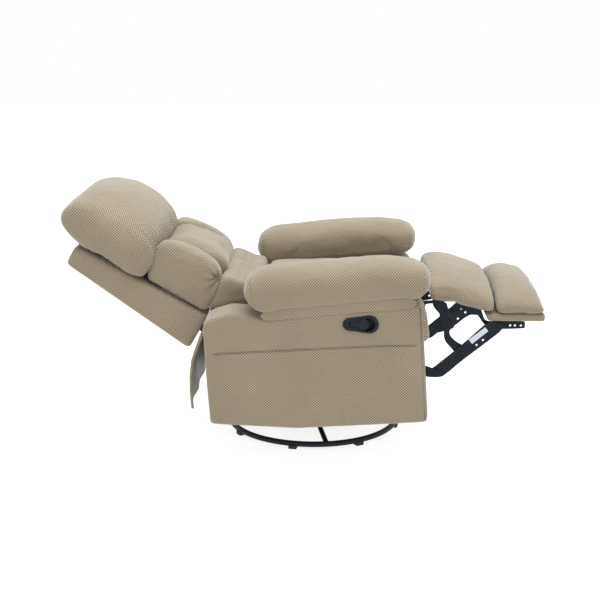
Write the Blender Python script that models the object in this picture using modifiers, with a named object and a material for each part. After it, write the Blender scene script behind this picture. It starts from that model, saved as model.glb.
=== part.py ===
"""Glider nursery recliner, shown fully reclined with the footrest out.

Frame: origin on the floor under the middle of the reclined chair, +Z up, the sitter faces -Y,
and the sitter's right-hand side (the release handle's side) is -X. Metres throughout.
Side shapes are given as (y, z) pairs and are extruded across X.
"""
import math

import bmesh
import bpy
from mathutils import Matrix, Vector

for leftover in list(bpy.data.objects):
    bpy.data.objects.remove(leftover)

# ---------------------------------------------------------------- clearances
GAP = 0.0003
PIN_CLEARANCE = 0.0004

# ---------------------------------------------------------------- upholstered box
BETWEEN_ARMS = 0.540
ARM_WIDTH = 0.150
PANEL_DEPTH = 0.672
PANEL_FRONT_Y = -0.360
PANEL_BOTTOM_Z = 0.115
PANEL_ROUNDING = 0.012
ARM_PAD_HEIGHT = 0.150
ARM_PAD_INNER_OVERHANG = 0.008
ARM_PAD_OUTER_OVERHANG = 0.025
ARM_PAD_ROUNDING = 0.040
CUSHION_SIDE_GAP = 0.004
SEAT_CUSHION_BOTTOM_Z = 0.492
SEAT_CUSHION_HEIGHT = 0.045
DECK_THICKNESS = 0.012
RAIL_THICKNESS = 0.020
RAIL_HEIGHT = 0.060
SKIRT_THICKNESS = 0.004
SKIRT_LENGTH = 0.197

# ---------------------------------------------------------------- swivel base
RING_RADIUS = 0.2866
RING_TUBE_RADIUS = 0.0095
RING_SEGMENTS = 64
SPOKE_WIDTH = 0.018
SPOKE_HEIGHT = 0.010
SPOKE_TURN = math.radians(-10)
SPOKE_COUNT = 4
FOOT_COUNT = 8
FOOT_LIFT = 0.006
FOOT_HEIGHT = 0.012
FOOT_WIDTH = 0.022
FOOT_LENGTH = 0.026
HUB_RADIUS = 0.060
HUB_TOP_Z = 0.036
SWIVEL_PLATE_RADIUS = 0.085
SWIVEL_PLATE_THICKNESS = 0.006
BEARING_OUTER_RADIUS = 0.075
BEARING_INNER_RADIUS = 0.050
BEARING_HEIGHT = 0.015
KINGPIN_RADIUS = 0.008
KINGPIN_HEAD_RADIUS = 0.014
KINGPIN_HEAD_HEIGHT = 0.006

# ---------------------------------------------------------------- glider
PLATFORM_THICKNESS = 0.004
PLATFORM_HALF_LENGTH = 0.120
GLIDE_POST_X = 0.122
GLIDE_LINK_LENGTH = 0.110
GLIDE_LINK_HALF_WIDTH = 0.012
GLIDE_PIVOT_SPACING = 0.180
GLIDE_LOWER_PIVOT_Z = 0.0900
GLIDE_RAIL_HEIGHT = 0.035

# ---------------------------------------------------------------- steel links
STRAP_THICKNESS = 0.003
LAYER_PITCH = 0.006
PLATE_INSET = 0.024
PIN_RADIUS = 0.004
PIN_HEAD_RADIUS = 0.008
SPARE_HOLE_RADIUS = 0.0035
TUBE_RADIUS = 0.008
TORQUE_TUBE_RADIUS = 0.007
REAR_LINK_HALF_WIDTH = 0.010
LEVER_HALF_WIDTH = 0.014
LEVER_FLANGE_WIDTH = 0.030
OPEN_PIVOT_GAP = 0.0003

# ---------------------------------------------------------------- footrest
OTTOMAN_BOARD_WIDTH = BETWEEN_ARMS - 0.060
OTTOMAN_BOARD_THICKNESS = 0.038
BRIDGE_BOARD_WIDTH = BETWEEN_ARMS - 0.140
BRIDGE_BOARD_THICKNESS = 0.012

# ---------------------------------------------------------------- back
BACK_LEAN = math.radians(30)
BACK_PIVOT_INSET = 0.067
BACK_PIVOT_Z = 0.400
BACK_FRAME_LENGTH = 0.468
BACK_FRAME_TOP_THICKNESS = 0.070
BACK_FRAME_BOTTOM_THICKNESS = 0.126
HEAD_PILLOW_WIDTH = 0.570
LUMBAR_WIDTH = 0.312
WING_GAP = 0.003

# ---------------------------------------------------------------- release handle
HANDLE_REAR_Y = -0.122
HANDLE_CENTRE_Z = 0.458
HANDLE_LENGTH = 0.109
HANDLE_FRONT_RADIUS = 0.0275
HANDLE_REAR_RADIUS = 0.019
BEZEL_PROUD = 0.0045
BEZEL_DEPTH = 0.028
BEZEL_FLOOR = 0.003
BEZEL_RIM = 0.0095
CUP_RADIUS = 0.0215
NECK_INSET = 0.020
NECK_REACH = 0.062
NECK_HALF_HEIGHT = 0.008
PADDLE_RADIUS = 0.018
PADDLE_THICKNESS = 0.005
PADDLE_CLEARANCE = 0.0015

# ---------------------------------------------------------------- worked-out places
arm_inner_x = BETWEEN_ARMS / 2
arm_outer_x = arm_inner_x + ARM_WIDTH
pad_inner_x = arm_inner_x - ARM_PAD_INNER_OVERHANG
pad_outer_x = arm_outer_x + ARM_PAD_OUTER_OVERHANG
cushion_half = pad_inner_x - CUSHION_SIDE_GAP
panel_rear_y = PANEL_FRONT_Y + PANEL_DEPTH
swivel_y = PANEL_FRONT_Y + PANEL_DEPTH / 2 - 0.001
plate_x = arm_inner_x - PLATE_INSET
back_pivot = Vector((panel_rear_y - BACK_PIVOT_INSET, BACK_PIVOT_Z))
ring_z = FOOT_LIFT + GAP + RING_TUBE_RADIUS
lower_plate_z = HUB_TOP_Z + GAP
bearing_z = lower_plate_z + SWIVEL_PLATE_THICKNESS + GAP
upper_plate_z = bearing_z + BEARING_HEIGHT + GAP
platform_z = upper_plate_z + SWIVEL_PLATE_THICKNESS + GAP
post_foot_z = platform_z + PLATFORM_THICKNESS + GAP
glide_upper_pivot_z = GLIDE_LOWER_PIVOT_Z + GLIDE_LINK_LENGTH
glide_rail_top_z = GLIDE_LOWER_PIVOT_Z + 0.020
handle_front_y = HANDLE_REAR_Y - HANDLE_LENGTH
handle_face_x = -(arm_outer_x + BEZEL_PROUD)


def front(forward, z):
    """A side point given by its distance in front of the panels' front edge."""
    return Vector((PANEL_FRONT_Y - forward, z))


# Footrest pivots, each (y, z): seat hinges, then the hinges that move with the links
front_link_pivot = front(0.016, 0.477)
rear_link_pivot = front(-0.035, 0.418)
long_link_pivot = front(0.152, 0.314)
long_link_tail_pivot = front(0.080, 0.246)
upper_link_pivot = front(0.109, 0.398)
ottoman_rear_pivot = front(0.2018, 0.451)
ottoman_pivot = front(0.265, 0.407)
bridge_hinge = front(0.049, 0.498)

parts = bpy.data.collections.new("glider_nursery_chair")
construction = bpy.data.collections.new("construction")
bpy.context.scene.collection.children.link(parts)
bpy.context.scene.collection.children.link(construction)

FINISHES = {
    "fabric": ((0.47, 0.41, 0.33), 0.9, 0.0),
    "lining": ((0.22, 0.24, 0.28), 0.85, 0.0),
    "steel": ((0.03, 0.035, 0.045), 0.4, 0.8),
    "plastic": ((0.05, 0.06, 0.075), 0.45, 0.0),
    "rubber": ((0.02, 0.02, 0.022), 0.8, 0.0),
    "wood": ((0.5, 0.36, 0.22), 0.6, 0.0),
}


# ---------------------------------------------------------------- building helpers
def paint(obj, finish):
    """Give a sub-part its own Principled material."""
    colour, roughness, metallic = FINISHES[finish]
    material = bpy.data.materials.new(obj.name)
    material.use_nodes = True
    shader = material.node_tree.nodes["Principled BSDF"]
    shader.inputs["Base Color"].default_value = (*colour, 1)
    shader.inputs["Roughness"].default_value = roughness
    shader.inputs["Metallic"].default_value = metallic
    obj.data.materials.clear()
    obj.data.materials.append(material)


def joint_axis(name, location, parent=None):
    """An empty that stands on a joint's axis; the pieces that turn with it hang on it."""
    empty = bpy.data.objects.new(name, None)
    empty.empty_display_size = 0.03
    parts.objects.link(empty)
    empty.location = location
    if parent:
        empty.parent = parent
        empty.location = Vector(location) - world_place(parent)
    return empty


def world_place(obj):
    """An unturned object's place in the world, summed up through its parents."""
    place = Vector(obj.location)
    while obj.parent:
        obj = obj.parent
        place += obj.location
    return place


def hang(obj, axis, finish):
    """Finish a sub-part: paint it, and move its origin onto its body's axis."""
    paint(obj, finish)
    if axis:
        origin = world_place(axis)
        obj.data.transform(Matrix.Translation(-origin) @ obj.matrix_basis)
        obj.matrix_basis = Matrix.Identity(4)
        obj.parent = axis
    return obj


def new_mesh_object(name, mesh, as_tool=False):
    obj = bpy.data.objects.new(name, mesh)
    if as_tool:
        construction.objects.link(obj)
        obj.hide_render = True
        obj.display_type = "WIRE"
    else:
        parts.objects.link(obj)
    return obj


def box(name, low, high, rounding=0.0, as_tool=False):
    """A block between two corners, with its scale in its mesh, and round edges if wanted."""
    low, high = Vector(low), Vector(high)
    shape = bmesh.new()
    bmesh.ops.create_cube(shape, size=1)
    bmesh.ops.scale(shape, vec=high - low, verts=shape.verts)
    bmesh.ops.translate(shape, vec=(low + high) / 2, verts=shape.verts)
    mesh = bpy.data.meshes.new(name)
    shape.to_mesh(mesh)
    shape.free()
    obj = new_mesh_object(name, mesh, as_tool)
    if rounding:
        add_rounding(obj, rounding)
    return obj


def add_rounding(obj, width, segments=3):
    bevel = obj.modifiers.new("round_edges", "BEVEL")
    bevel.width = width
    bevel.segments = segments
    bevel.limit_method = "ANGLE"
    bevel.angle_limit = math.radians(40)


def cylinder(name, centre, radius, length, along, segments=24, as_tool=False):
    """A round bar centred on a point, along X, Y or Z."""
    turn = {
        "X": Matrix.Rotation(math.pi / 2, 4, "Y"),
        "Y": Matrix.Rotation(math.pi / 2, 4, "X"),
        "Z": Matrix.Identity(4),
    }[along]
    shape = bmesh.new()
    bmesh.ops.create_cone(shape, cap_ends=True, segments=segments, radius1=radius,
                          radius2=radius, depth=length,
                          matrix=Matrix.Translation(centre) @ turn)
    mesh = bpy.data.meshes.new(name)
    shape.to_mesh(mesh)
    shape.free()
    return new_mesh_object(name, mesh, as_tool)


def circle(centre, radius, segments=20):
    steps = [2 * math.pi * k / segments for k in range(segments)]
    return [Vector((centre[0] + radius * math.cos(a), centre[1] + radius * math.sin(a)))
            for a in steps]


def plate(name, ring, x_mid, depth, holes=(), as_tool=False):
    """A flat outline in the side plane, extruded to depth across X."""
    curve = bpy.data.curves.new(name, "CURVE")
    curve.dimensions = "2D"
    curve.fill_mode = "BOTH"
    curve.extrude = depth / 2
    for loop in [ring, *holes]:
        spline = curve.splines.new("POLY")
        spline.points.add(len(loop) - 1)
        for knot, (y, z) in zip(spline.points, loop):
            knot.co = (y, z, 0, 1)
        spline.use_cyclic_u = True
    guide = bpy.data.objects.new(name + "_outline", curve)
    construction.objects.link(guide)
    guide.rotation_euler = (math.pi / 2, 0, math.pi / 2)
    guide.location = (x_mid, 0, 0)
    bpy.context.view_layer.update()
    evaluated = guide.evaluated_get(bpy.context.evaluated_depsgraph_get())
    mesh = bpy.data.meshes.new_from_object(evaluated)
    mesh.transform(guide.matrix_world)
    bpy.data.objects.remove(guide)
    shape = bmesh.new()
    shape.from_mesh(mesh)
    bmesh.ops.remove_doubles(shape, verts=shape.verts, dist=0.00001)
    bmesh.ops.recalc_face_normals(shape, faces=shape.faces)
    shape.to_mesh(mesh)
    shape.free()
    mesh.name = name
    return new_mesh_object(name, mesh, as_tool)


def strap_outline(path, half_width, end_segments=8):
    """The outline of a flat strap with round ends that follows a bent centre line."""
    left, right = [], []
    for k, point in enumerate(path):
        before = (point - path[k - 1]).normalized() if k else None
        after = (path[k + 1] - point).normalized() if k < len(path) - 1 else None
        along = ((before or after) + (after or before)).normalized()
        side = Vector((-along.y, along.x))
        stretch = 1 / max(side.dot(Vector((-(after or before).y, (after or before).x))), 0.5)
        left.append(point + side * half_width * stretch)
        right.append(point - side * half_width * stretch)
    first = (path[0] - path[1]).normalized()
    last = (path[-1] - path[-2]).normalized()
    return left + arc(path[-1], last, half_width, end_segments) + right[::-1] \
        + arc(path[0], first, half_width, end_segments)


def arc(centre, outward, radius, segments):
    """The inner points of a half circle that bulges outward, from its left side to its right."""
    start = math.atan2(outward.y, outward.x) + math.pi / 2
    return [centre + radius * Vector((math.cos(start - math.pi * k / segments),
                                      math.sin(start - math.pi * k / segments)))
            for k in range(1, segments)]


def combine(obj, tool, operation):
    """Cut a tool from a piece, or join it on."""
    boolean = obj.modifiers.new(operation.lower() + "_" + tool.name, "BOOLEAN")
    boolean.operation = operation
    boolean.solver = "EXACT"
    boolean.object = tool


def add_pin(obj, side, pivot, from_x, to_x, radius=PIN_RADIUS, sunk=0.001):
    """Join a round pin to a strap; it starts a little inside the strap's face."""
    sign = 1 if to_x > from_x else -1
    start = from_x - sign * sunk
    middle = Vector((side * (start + to_x) / 2, pivot[0], pivot[1]))
    tool = cylinder(f"{obj.name}_pin_{len(obj.modifiers)}", middle, radius,
                    abs(to_x - start), "X", segments=20, as_tool=True)
    combine(obj, tool, "UNION")


def layer(number):
    """Distance from the middle plane to a link layer; layer 0 is the mechanism plate."""
    return plate_x - number * LAYER_PITCH


def rivet_through(obj, side, pivot, own_layer, far_layer):
    """A pin from one strap through another, with a head on the far side."""
    inward = -1 if far_layer > own_layer else 1
    half = STRAP_THICKNESS / 2
    far_face = layer(far_layer) + inward * half
    add_pin(obj, side, pivot, layer(own_layer) + inward * half, far_face + inward * 0.001)
    add_pin(obj, side, pivot, far_face + inward * GAP, far_face + inward * 0.0023,
            PIN_HEAD_RADIUS, sunk=0.0)


def link(name, side, ring, layer_number, pivots=(), spare_holes=()):
    """A flat steel link lying in one layer, with pivot holes and the stamping's spare holes."""
    cut = [circle(centre, PIN_RADIUS + PIN_CLEARANCE) for centre in pivots]
    cut += [circle(centre, SPARE_HOLE_RADIUS) for centre in spare_holes]
    return plate(name, ring, side * layer(layer_number), STRAP_THICKNESS, cut)


def stamped(corners, rounds=2):
    """A stamping's outline: its corners cut off again and again until they are round."""
    ring = [front(*corner) for corner in corners]
    for _ in range(rounds):
        ahead = ring[1:] + ring[:1]
        ring = [a.lerp(b, share) for a, b in zip(ring, ahead) for share in (0.25, 0.75)]
    return ring


def swivel_round(profile, name):
    """A turned piece on the swivel axis; the profile is (radius, z) down its outer side."""
    mesh = bpy.data.meshes.new(name)
    points = [(radius, 0, z) for radius, z in profile]
    edges = [(k, (k + 1) % len(points)) for k in range(len(points))]
    mesh.from_pydata(points, edges, [])
    obj = new_mesh_object(name, mesh)
    screw = obj.modifiers.new("turn", "SCREW")
    screw.steps = screw.render_steps = 40
    screw.use_merge_vertices = True
    screw.merge_threshold = 0.0001
    obj.location = (0, swivel_y, 0)
    return obj


def ring_profile(inner, outer, low, high):
    return [(outer, high), (outer, low), (inner, low), (inner, high)]


SIDES = {"right": -1, "left": 1}

# ---------------------------------------------------------------- joint axes
swivel_axis = joint_axis("swivel_axis", (0, swivel_y, 0))
front_glide_y = swivel_y - GLIDE_PIVOT_SPACING / 2
rear_glide_y = swivel_y + GLIDE_PIVOT_SPACING / 2
front_glide_axis = joint_axis("front_glide_axis", (0, front_glide_y, glide_upper_pivot_z),
                              swivel_axis)
rear_glide_axis = joint_axis("rear_glide_axis", (0, rear_glide_y, glide_upper_pivot_z),
                             swivel_axis)
seat_axis = joint_axis("seat_axis", (0, front_glide_y, GLIDE_LOWER_PIVOT_Z), front_glide_axis)
front_link_axis = joint_axis("front_link_axis", (0, *front_link_pivot), seat_axis)
rear_link_axis = joint_axis("rear_link_axis", (0, *rear_link_pivot), seat_axis)
long_link_axis = joint_axis("long_link_axis", (0, *long_link_pivot), front_link_axis)
upper_link_axis = joint_axis("upper_link_axis", (0, *upper_link_pivot), front_link_axis)
ottoman_axis = joint_axis("ottoman_axis", (0, *ottoman_pivot), long_link_axis)
bridge_axis = joint_axis("bridge_axis", (0, *bridge_hinge), seat_axis)
back_axis = joint_axis("back_axis", (0, *back_pivot), seat_axis)


# ---------------------------------------------------------------- swivel base
def build_base():
    """Floor ring with four spokes, rubber feet and the fixed half of the swivel."""
    bpy.ops.mesh.primitive_torus_add(major_radius=RING_RADIUS, minor_radius=RING_TUBE_RADIUS,
                                     major_segments=RING_SEGMENTS, minor_segments=10,
                                     location=(0, swivel_y, ring_z))
    ring = bpy.context.object
    ring.name = "base_ring"
    for holder in ring.users_collection:
        holder.objects.unlink(ring)
    parts.objects.link(ring)
    hang(ring, None, "steel")

    bpy.ops.mesh.primitive_torus_add(major_radius=RING_RADIUS,
                                     minor_radius=RING_TUBE_RADIUS + GAP,
                                     major_segments=RING_SEGMENTS, minor_segments=10,
                                     location=(0, swivel_y, ring_z))
    groove = bpy.context.object
    groove.name = "foot_groove"
    for holder in groove.users_collection:
        holder.objects.unlink(groove)
    construction.objects.link(groove)
    groove.hide_render = True
    groove.display_type = "WIRE"

    cross = cylinder("base_cross", (0, swivel_y, (HUB_TOP_Z + ring_z - SPOKE_HEIGHT / 2) / 2),
                     HUB_RADIUS, HUB_TOP_Z - ring_z + SPOKE_HEIGHT / 2, "Z", segments=40)
    spoke_end = (RING_RADIUS - RING_TUBE_RADIUS) * math.cos(math.pi / RING_SEGMENTS) - GAP
    for k in range(SPOKE_COUNT):
        turn = SPOKE_TURN + 2 * math.pi * k / SPOKE_COUNT
        spoke = box(f"spoke_{k + 1}",
                    (-spoke_end, -SPOKE_WIDTH / 2, ring_z - SPOKE_HEIGHT / 2 + 0.0005),
                    (-HUB_RADIUS / 2, SPOKE_WIDTH / 2, ring_z + SPOKE_HEIGHT / 2),
                    as_tool=True)
        spoke.rotation_euler = (0, 0, -turn)
        spoke.location = (0, swivel_y, 0)
        combine(cross, spoke, "UNION")
    hang(cross, None, "steel")

    for k in range(FOOT_COUNT):
        turn = SPOKE_TURN + math.pi / FOOT_COUNT + 2 * math.pi * k / FOOT_COUNT
        foot = box(f"foot_pad_{k + 1}",
                   (-RING_RADIUS - FOOT_WIDTH / 2, -FOOT_LENGTH / 2, 0),
                   (-RING_RADIUS + FOOT_WIDTH / 2, FOOT_LENGTH / 2, FOOT_HEIGHT))
        foot.rotation_euler = (0, 0, -turn)
        foot.location = (0, swivel_y, 0)
        combine(foot, groove, "DIFFERENCE")
        hang(foot, None, "rubber")

    lower = swivel_round(ring_profile(KINGPIN_RADIUS + PIN_CLEARANCE, SWIVEL_PLATE_RADIUS,
                                      lower_plate_z, lower_plate_z + SWIVEL_PLATE_THICKNESS),
                         "swivel_lower_plate")
    hang(lower, None, "steel")

    neck_top = upper_plate_z + SWIVEL_PLATE_THICKNESS + GAP
    pin = swivel_round([(0, neck_top + KINGPIN_HEAD_HEIGHT),
                        (KINGPIN_HEAD_RADIUS, neck_top + KINGPIN_HEAD_HEIGHT),
                        (KINGPIN_HEAD_RADIUS, neck_top), (KINGPIN_RADIUS, neck_top),
                        (KINGPIN_RADIUS, lower_plate_z), (0, lower_plate_z)], "kingpin")
    hang(pin, None, "steel")


# ---------------------------------------------------------------- turntable and glider
def build_turntable():
    """The turning half of the swivel and the posts that the seat swings from."""
    bearing = swivel_round(ring_profile(BEARING_INNER_RADIUS, BEARING_OUTER_RADIUS,
                                        bearing_z, bearing_z + BEARING_HEIGHT), "swivel_bearing")
    hang(bearing, swivel_axis, "steel")
    upper = swivel_round(ring_profile(KINGPIN_RADIUS + PIN_CLEARANCE, SWIVEL_PLATE_RADIUS,
                                      upper_plate_z, upper_plate_z + SWIVEL_PLATE_THICKNESS),
                         "swivel_upper_plate")
    hang(upper, swivel_axis, "steel")

    half = GLIDE_POST_X + STRAP_THICKNESS / 2
    platform = box("glider_platform", (-half, swivel_y - PLATFORM_HALF_LENGTH, platform_z),
                   (half, swivel_y + PLATFORM_HALF_LENGTH, platform_z + PLATFORM_THICKNESS))
    hole = cylinder("kingpin_hole", (0, swivel_y, platform_z), KINGPIN_HEAD_RADIUS + 0.004,
                    0.05, "Z", segments=32, as_tool=True)
    combine(platform, hole, "DIFFERENCE")
    hang(platform, swivel_axis, "steel")

    top = glide_upper_pivot_z + GLIDE_LINK_HALF_WIDTH
    reach = GLIDE_PIVOT_SPACING / 2 + GLIDE_LINK_HALF_WIDTH
    outline = [(swivel_y - PLATFORM_HALF_LENGTH, post_foot_z),
               (swivel_y + PLATFORM_HALF_LENGTH, post_foot_z),
               (swivel_y + reach, top), (swivel_y - reach, top)]
    for name, side in SIDES.items():
        post = plate(f"glider_post_{name}", outline, side * GLIDE_POST_X, STRAP_THICKNESS)
        for pivot_y in (front_glide_y, rear_glide_y):
            glide_pin(post, side, (pivot_y, glide_upper_pivot_z), GLIDE_POST_X)
        hang(post, swivel_axis, "steel")


def glide_pin(obj, side, pivot, own_x):
    """A pin from one glider strap outward through the next one, with a head."""
    next_face = own_x + LAYER_PITCH + STRAP_THICKNESS / 2
    add_pin(obj, side, pivot, own_x + STRAP_THICKNESS / 2, next_face + 0.001)
    add_pin(obj, side, pivot, next_face + GAP, next_face + 0.0023, PIN_HEAD_RADIUS, sunk=0.0)


def build_swing_links():
    """Four hangers of equal length: their lower pins carry the seat's rails."""
    link_x = GLIDE_POST_X + LAYER_PITCH
    for row, pivot_y, axis in (("front", front_glide_y, front_glide_axis),
                               ("rear", rear_glide_y, rear_glide_axis)):
        for name, side in SIDES.items():
            top = Vector((pivot_y, glide_upper_pivot_z))
            bottom = Vector((pivot_y, GLIDE_LOWER_PIVOT_Z))
            link = plate(f"{row}_swing_link_{name}",
                         strap_outline([top, bottom], GLIDE_LINK_HALF_WIDTH),
                         side * link_x, STRAP_THICKNESS,
                         [circle(top, PIN_RADIUS + PIN_CLEARANCE)])
            glide_pin(link, side, bottom, link_x)
            hang(link, axis, "steel")


# ---------------------------------------------------------------- seat box
def panel_outline():
    """Side view of an arm box, from its lower front corner backwards."""
    rear = panel_rear_y
    low = PANEL_BOTTOM_Z
    lower_edge = [front(0.026, low + 0.025), front(-0.139, low + 0.014),
                  Vector((swivel_y + 0.045, low)), Vector((rear - 0.045, low + 0.011)),
                  Vector((rear - 0.019, low + 0.013))]
    rear_edge = [Vector((rear - 0.009, 0.259)), Vector((rear, 0.455)),
                 Vector((rear - 0.010, 0.475)), Vector((rear - 0.035, 0.486)),
                 Vector((rear - 0.082, 0.502)), Vector((rear - 0.120, 0.500))]
    top_edge = [Vector((rear - 0.195, 0.476)), front(-0.307, 0.497), front(-0.185, 0.508),
                front(0.0, 0.524)]
    return lower_edge + rear_edge + top_edge


def build_arms():
    """Two padded arm boxes, each with a pillow on top; the right one has the handle's pocket."""
    for name, side in SIDES.items():
        middle = side * (arm_inner_x + ARM_WIDTH / 2)
        panel = plate(f"side_panel_{name}", panel_outline(), middle, ARM_WIDTH)
        add_rounding(panel, PANEL_ROUNDING, 2)
        if side < 0:
            pocket_depth = BEZEL_DEPTH + GAP
            pocket = plate("handle_pocket", egg(GAP), handle_face_x + pocket_depth / 2,
                           pocket_depth, as_tool=True)
            combine(panel, pocket, "DIFFERENCE")
        hang(panel, seat_axis, "fabric")

        rear = panel_rear_y
        lower = [front(0.036, 0.582), front(0.017, 0.544), front(-0.023, 0.532),
                 front(-0.185, 0.514), front(-0.307, 0.504),
                 Vector((rear - 0.193, 0.486)), Vector((rear - 0.144, 0.512))]
        top = 0.513 + ARM_PAD_HEIGHT
        upper = [Vector((rear - 0.122, 0.549)), Vector((rear - 0.118, top - 0.093)),
                 Vector((rear - 0.138, top - 0.058)), Vector((rear - 0.197, top - 0.030)),
                 Vector((rear - 0.301, top - 0.020)), front(-0.226, top - 0.006),
                 front(-0.102, top), front(-0.020, top - 0.007), front(0.023, top - 0.032),
                 front(0.040, top - 0.060)]
        pad_middle = side * (pad_inner_x + pad_outer_x) / 2
        pad = plate(f"arm_pad_{name}", lower + upper, pad_middle, pad_outer_x - pad_inner_x)
        add_rounding(pad, ARM_PAD_ROUNDING)
        hang(pad, seat_axis, "fabric")


def build_seat():
    """What stands between the arms: rails, glide rails, deck, cushion and rear skirt."""
    rail_half = arm_inner_x - GAP
    rail_low = glide_rail_top_z + GAP
    front_face = PANEL_FRONT_Y + 0.050
    rear_face = panel_rear_y - 0.065
    front_rail = box("front_rail", (-rail_half, front_face, rail_low),
                     (rail_half, front_face + RAIL_THICKNESS, rail_low + RAIL_HEIGHT))
    hang(front_rail, seat_axis, "wood")
    rear_rail = box("rear_rail", (-rail_half, rear_face - RAIL_THICKNESS, rail_low),
                    (rail_half, rear_face, rail_low + RAIL_HEIGHT))
    hang(rear_rail, seat_axis, "wood")

    rail_x = GLIDE_POST_X + 2 * LAYER_PITCH
    outline = [(front_face, glide_rail_top_z - GLIDE_RAIL_HEIGHT),
               (rear_face, glide_rail_top_z - GLIDE_RAIL_HEIGHT),
               (rear_face, glide_rail_top_z), (front_face, glide_rail_top_z)]
    for name, side in SIDES.items():
        holes = [circle((pivot_y, GLIDE_LOWER_PIVOT_Z), PIN_RADIUS + PIN_CLEARANCE)
                 for pivot_y in (front_glide_y, rear_glide_y)]
        rail = plate(f"glide_rail_{name}", outline, side * rail_x, STRAP_THICKNESS, holes)
        hang(rail, seat_axis, "steel")

    deck_top = SEAT_CUSHION_BOTTOM_Z - 0.010
    deck = box("seat_deck", (-BRIDGE_BOARD_WIDTH / 2, PANEL_FRONT_Y, deck_top - DECK_THICKNESS),
               (BRIDGE_BOARD_WIDTH / 2, panel_rear_y - 0.182, deck_top))
    hang(deck, seat_axis, "wood")
    cushion = box("seat_cushion",
                  (-cushion_half, PANEL_FRONT_Y - 0.036, SEAT_CUSHION_BOTTOM_Z),
                  (cushion_half, panel_rear_y - 0.167,
                   SEAT_CUSHION_BOTTOM_Z + SEAT_CUSHION_HEIGHT), 0.020)
    hang(cushion, seat_axis, "fabric")

    tube_z = deck_top - DECK_THICKNESS - GAP - TUBE_RADIUS
    tube_half = plate_x - STRAP_THICKNESS / 2 - GAP
    for name, tube_y in (("front", PANEL_FRONT_Y + 0.030), ("rear", panel_rear_y - 0.192)):
        tube = cylinder(f"mechanism_tube_{name}", (0, tube_y, tube_z), TUBE_RADIUS,
                        2 * tube_half, "X", segments=16)
        hang(tube, seat_axis, "steel")

    skirt_y = panel_rear_y + 0.058
    skirt_low = PANEL_BOTTOM_Z + 0.013
    skirt_path = [Vector((skirt_y - 0.004, skirt_low + SKIRT_LENGTH)),
                  Vector((skirt_y + 0.006, skirt_low + SKIRT_LENGTH * 0.55)),
                  Vector((skirt_y + 0.006, skirt_low + SKIRT_LENGTH * 0.20)),
                  Vector((skirt_y - 0.002, skirt_low + SKIRT_THICKNESS / 2))]
    skirt = plate("rear_skirt", strap_outline(skirt_path, SKIRT_THICKNESS / 2, 4), 0,
                  2 * cushion_half)
    hang(skirt, seat_axis, "lining")


# ---------------------------------------------------------------- release handle
def egg(grow):
    """The handle surround's outline: a small rear circle and a large front one, in one skin."""
    rear_centre = Vector((HANDLE_REAR_Y - HANDLE_REAR_RADIUS, HANDLE_CENTRE_Z))
    front_centre = Vector((handle_front_y + HANDLE_FRONT_RADIUS, HANDLE_CENTRE_Z))
    tilt = math.asin((HANDLE_FRONT_RADIUS - HANDLE_REAR_RADIUS)
                     / (rear_centre.x - front_centre.x))
    points = []
    for centre, radius, begin, sweep, steps in (
            (rear_centre, HANDLE_REAR_RADIUS + grow, -math.pi / 2 - tilt, math.pi + 2 * tilt, 12),
            (front_centre, HANDLE_FRONT_RADIUS + grow, math.pi / 2 + tilt,
             math.pi - 2 * tilt, 14)):
        for k in range(steps + 1):
            angle = begin + sweep * k / steps
            points.append(centre + radius * Vector((math.cos(angle), math.sin(angle))))
    return points


def keyhole(centre_y, radius, half_height, rear_y, steps=24):
    """A round hole with a straight slot running back from it."""
    start = math.asin(half_height / radius)
    points = [Vector((rear_y, HANDLE_CENTRE_Z - half_height)),
              Vector((rear_y, HANDLE_CENTRE_Z + half_height))]
    for k in range(steps + 1):
        angle = start + (2 * math.pi - 2 * start) * k / steps
        points.append(Vector((centre_y + radius * math.cos(angle),
                              HANDLE_CENTRE_Z + radius * math.sin(angle))))
    return points


def build_handle():
    """A cup let into the right arm, and the paddle that hinges outward at the cup's rear."""
    cup_y = handle_front_y + BEZEL_RIM + CUP_RADIUS
    paddle_y = HANDLE_REAR_Y - NECK_REACH
    slot_rear_y = HANDLE_REAR_Y - NECK_INSET
    hinge_y = slot_rear_y - 0.005
    face = handle_face_x
    bezel = plate("handle_bezel", egg(0.0), face + BEZEL_DEPTH / 2, BEZEL_DEPTH)
    cut_depth = BEZEL_DEPTH - BEZEL_FLOOR + 0.004
    cut_x = face - 0.004 + cut_depth / 2
    cup = plate("finger_cup", circle((cup_y, HANDLE_CENTRE_Z), CUP_RADIUS, 28), cut_x,
                cut_depth, as_tool=True)
    nest = plate("paddle_nest", keyhole(paddle_y, PADDLE_RADIUS + PADDLE_CLEARANCE,
                                        NECK_HALF_HEIGHT + PADDLE_CLEARANCE, slot_rear_y),
                 cut_x, cut_depth, as_tool=True)
    combine(bezel, cup, "DIFFERENCE")
    combine(bezel, nest, "DIFFERENCE")
    hang(bezel, seat_axis, "plastic")

    axis_x = face + 0.001 + PADDLE_THICKNESS / 2
    handle_axis = joint_axis("handle_axis", (axis_x, hinge_y, HANDLE_CENTRE_Z), seat_axis)
    paddle = plate("release_handle",
                   keyhole(paddle_y, PADDLE_RADIUS, NECK_HALF_HEIGHT, hinge_y), axis_x,
                   PADDLE_THICKNESS)
    barrel = cylinder("handle_barrel", (axis_x, hinge_y, HANDLE_CENTRE_Z), 0.0038,
                      2 * NECK_HALF_HEIGHT, "Z", segments=20, as_tool=True)
    combine(paddle, barrel, "UNION")
    hang(paddle, handle_axis, "plastic")


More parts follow.
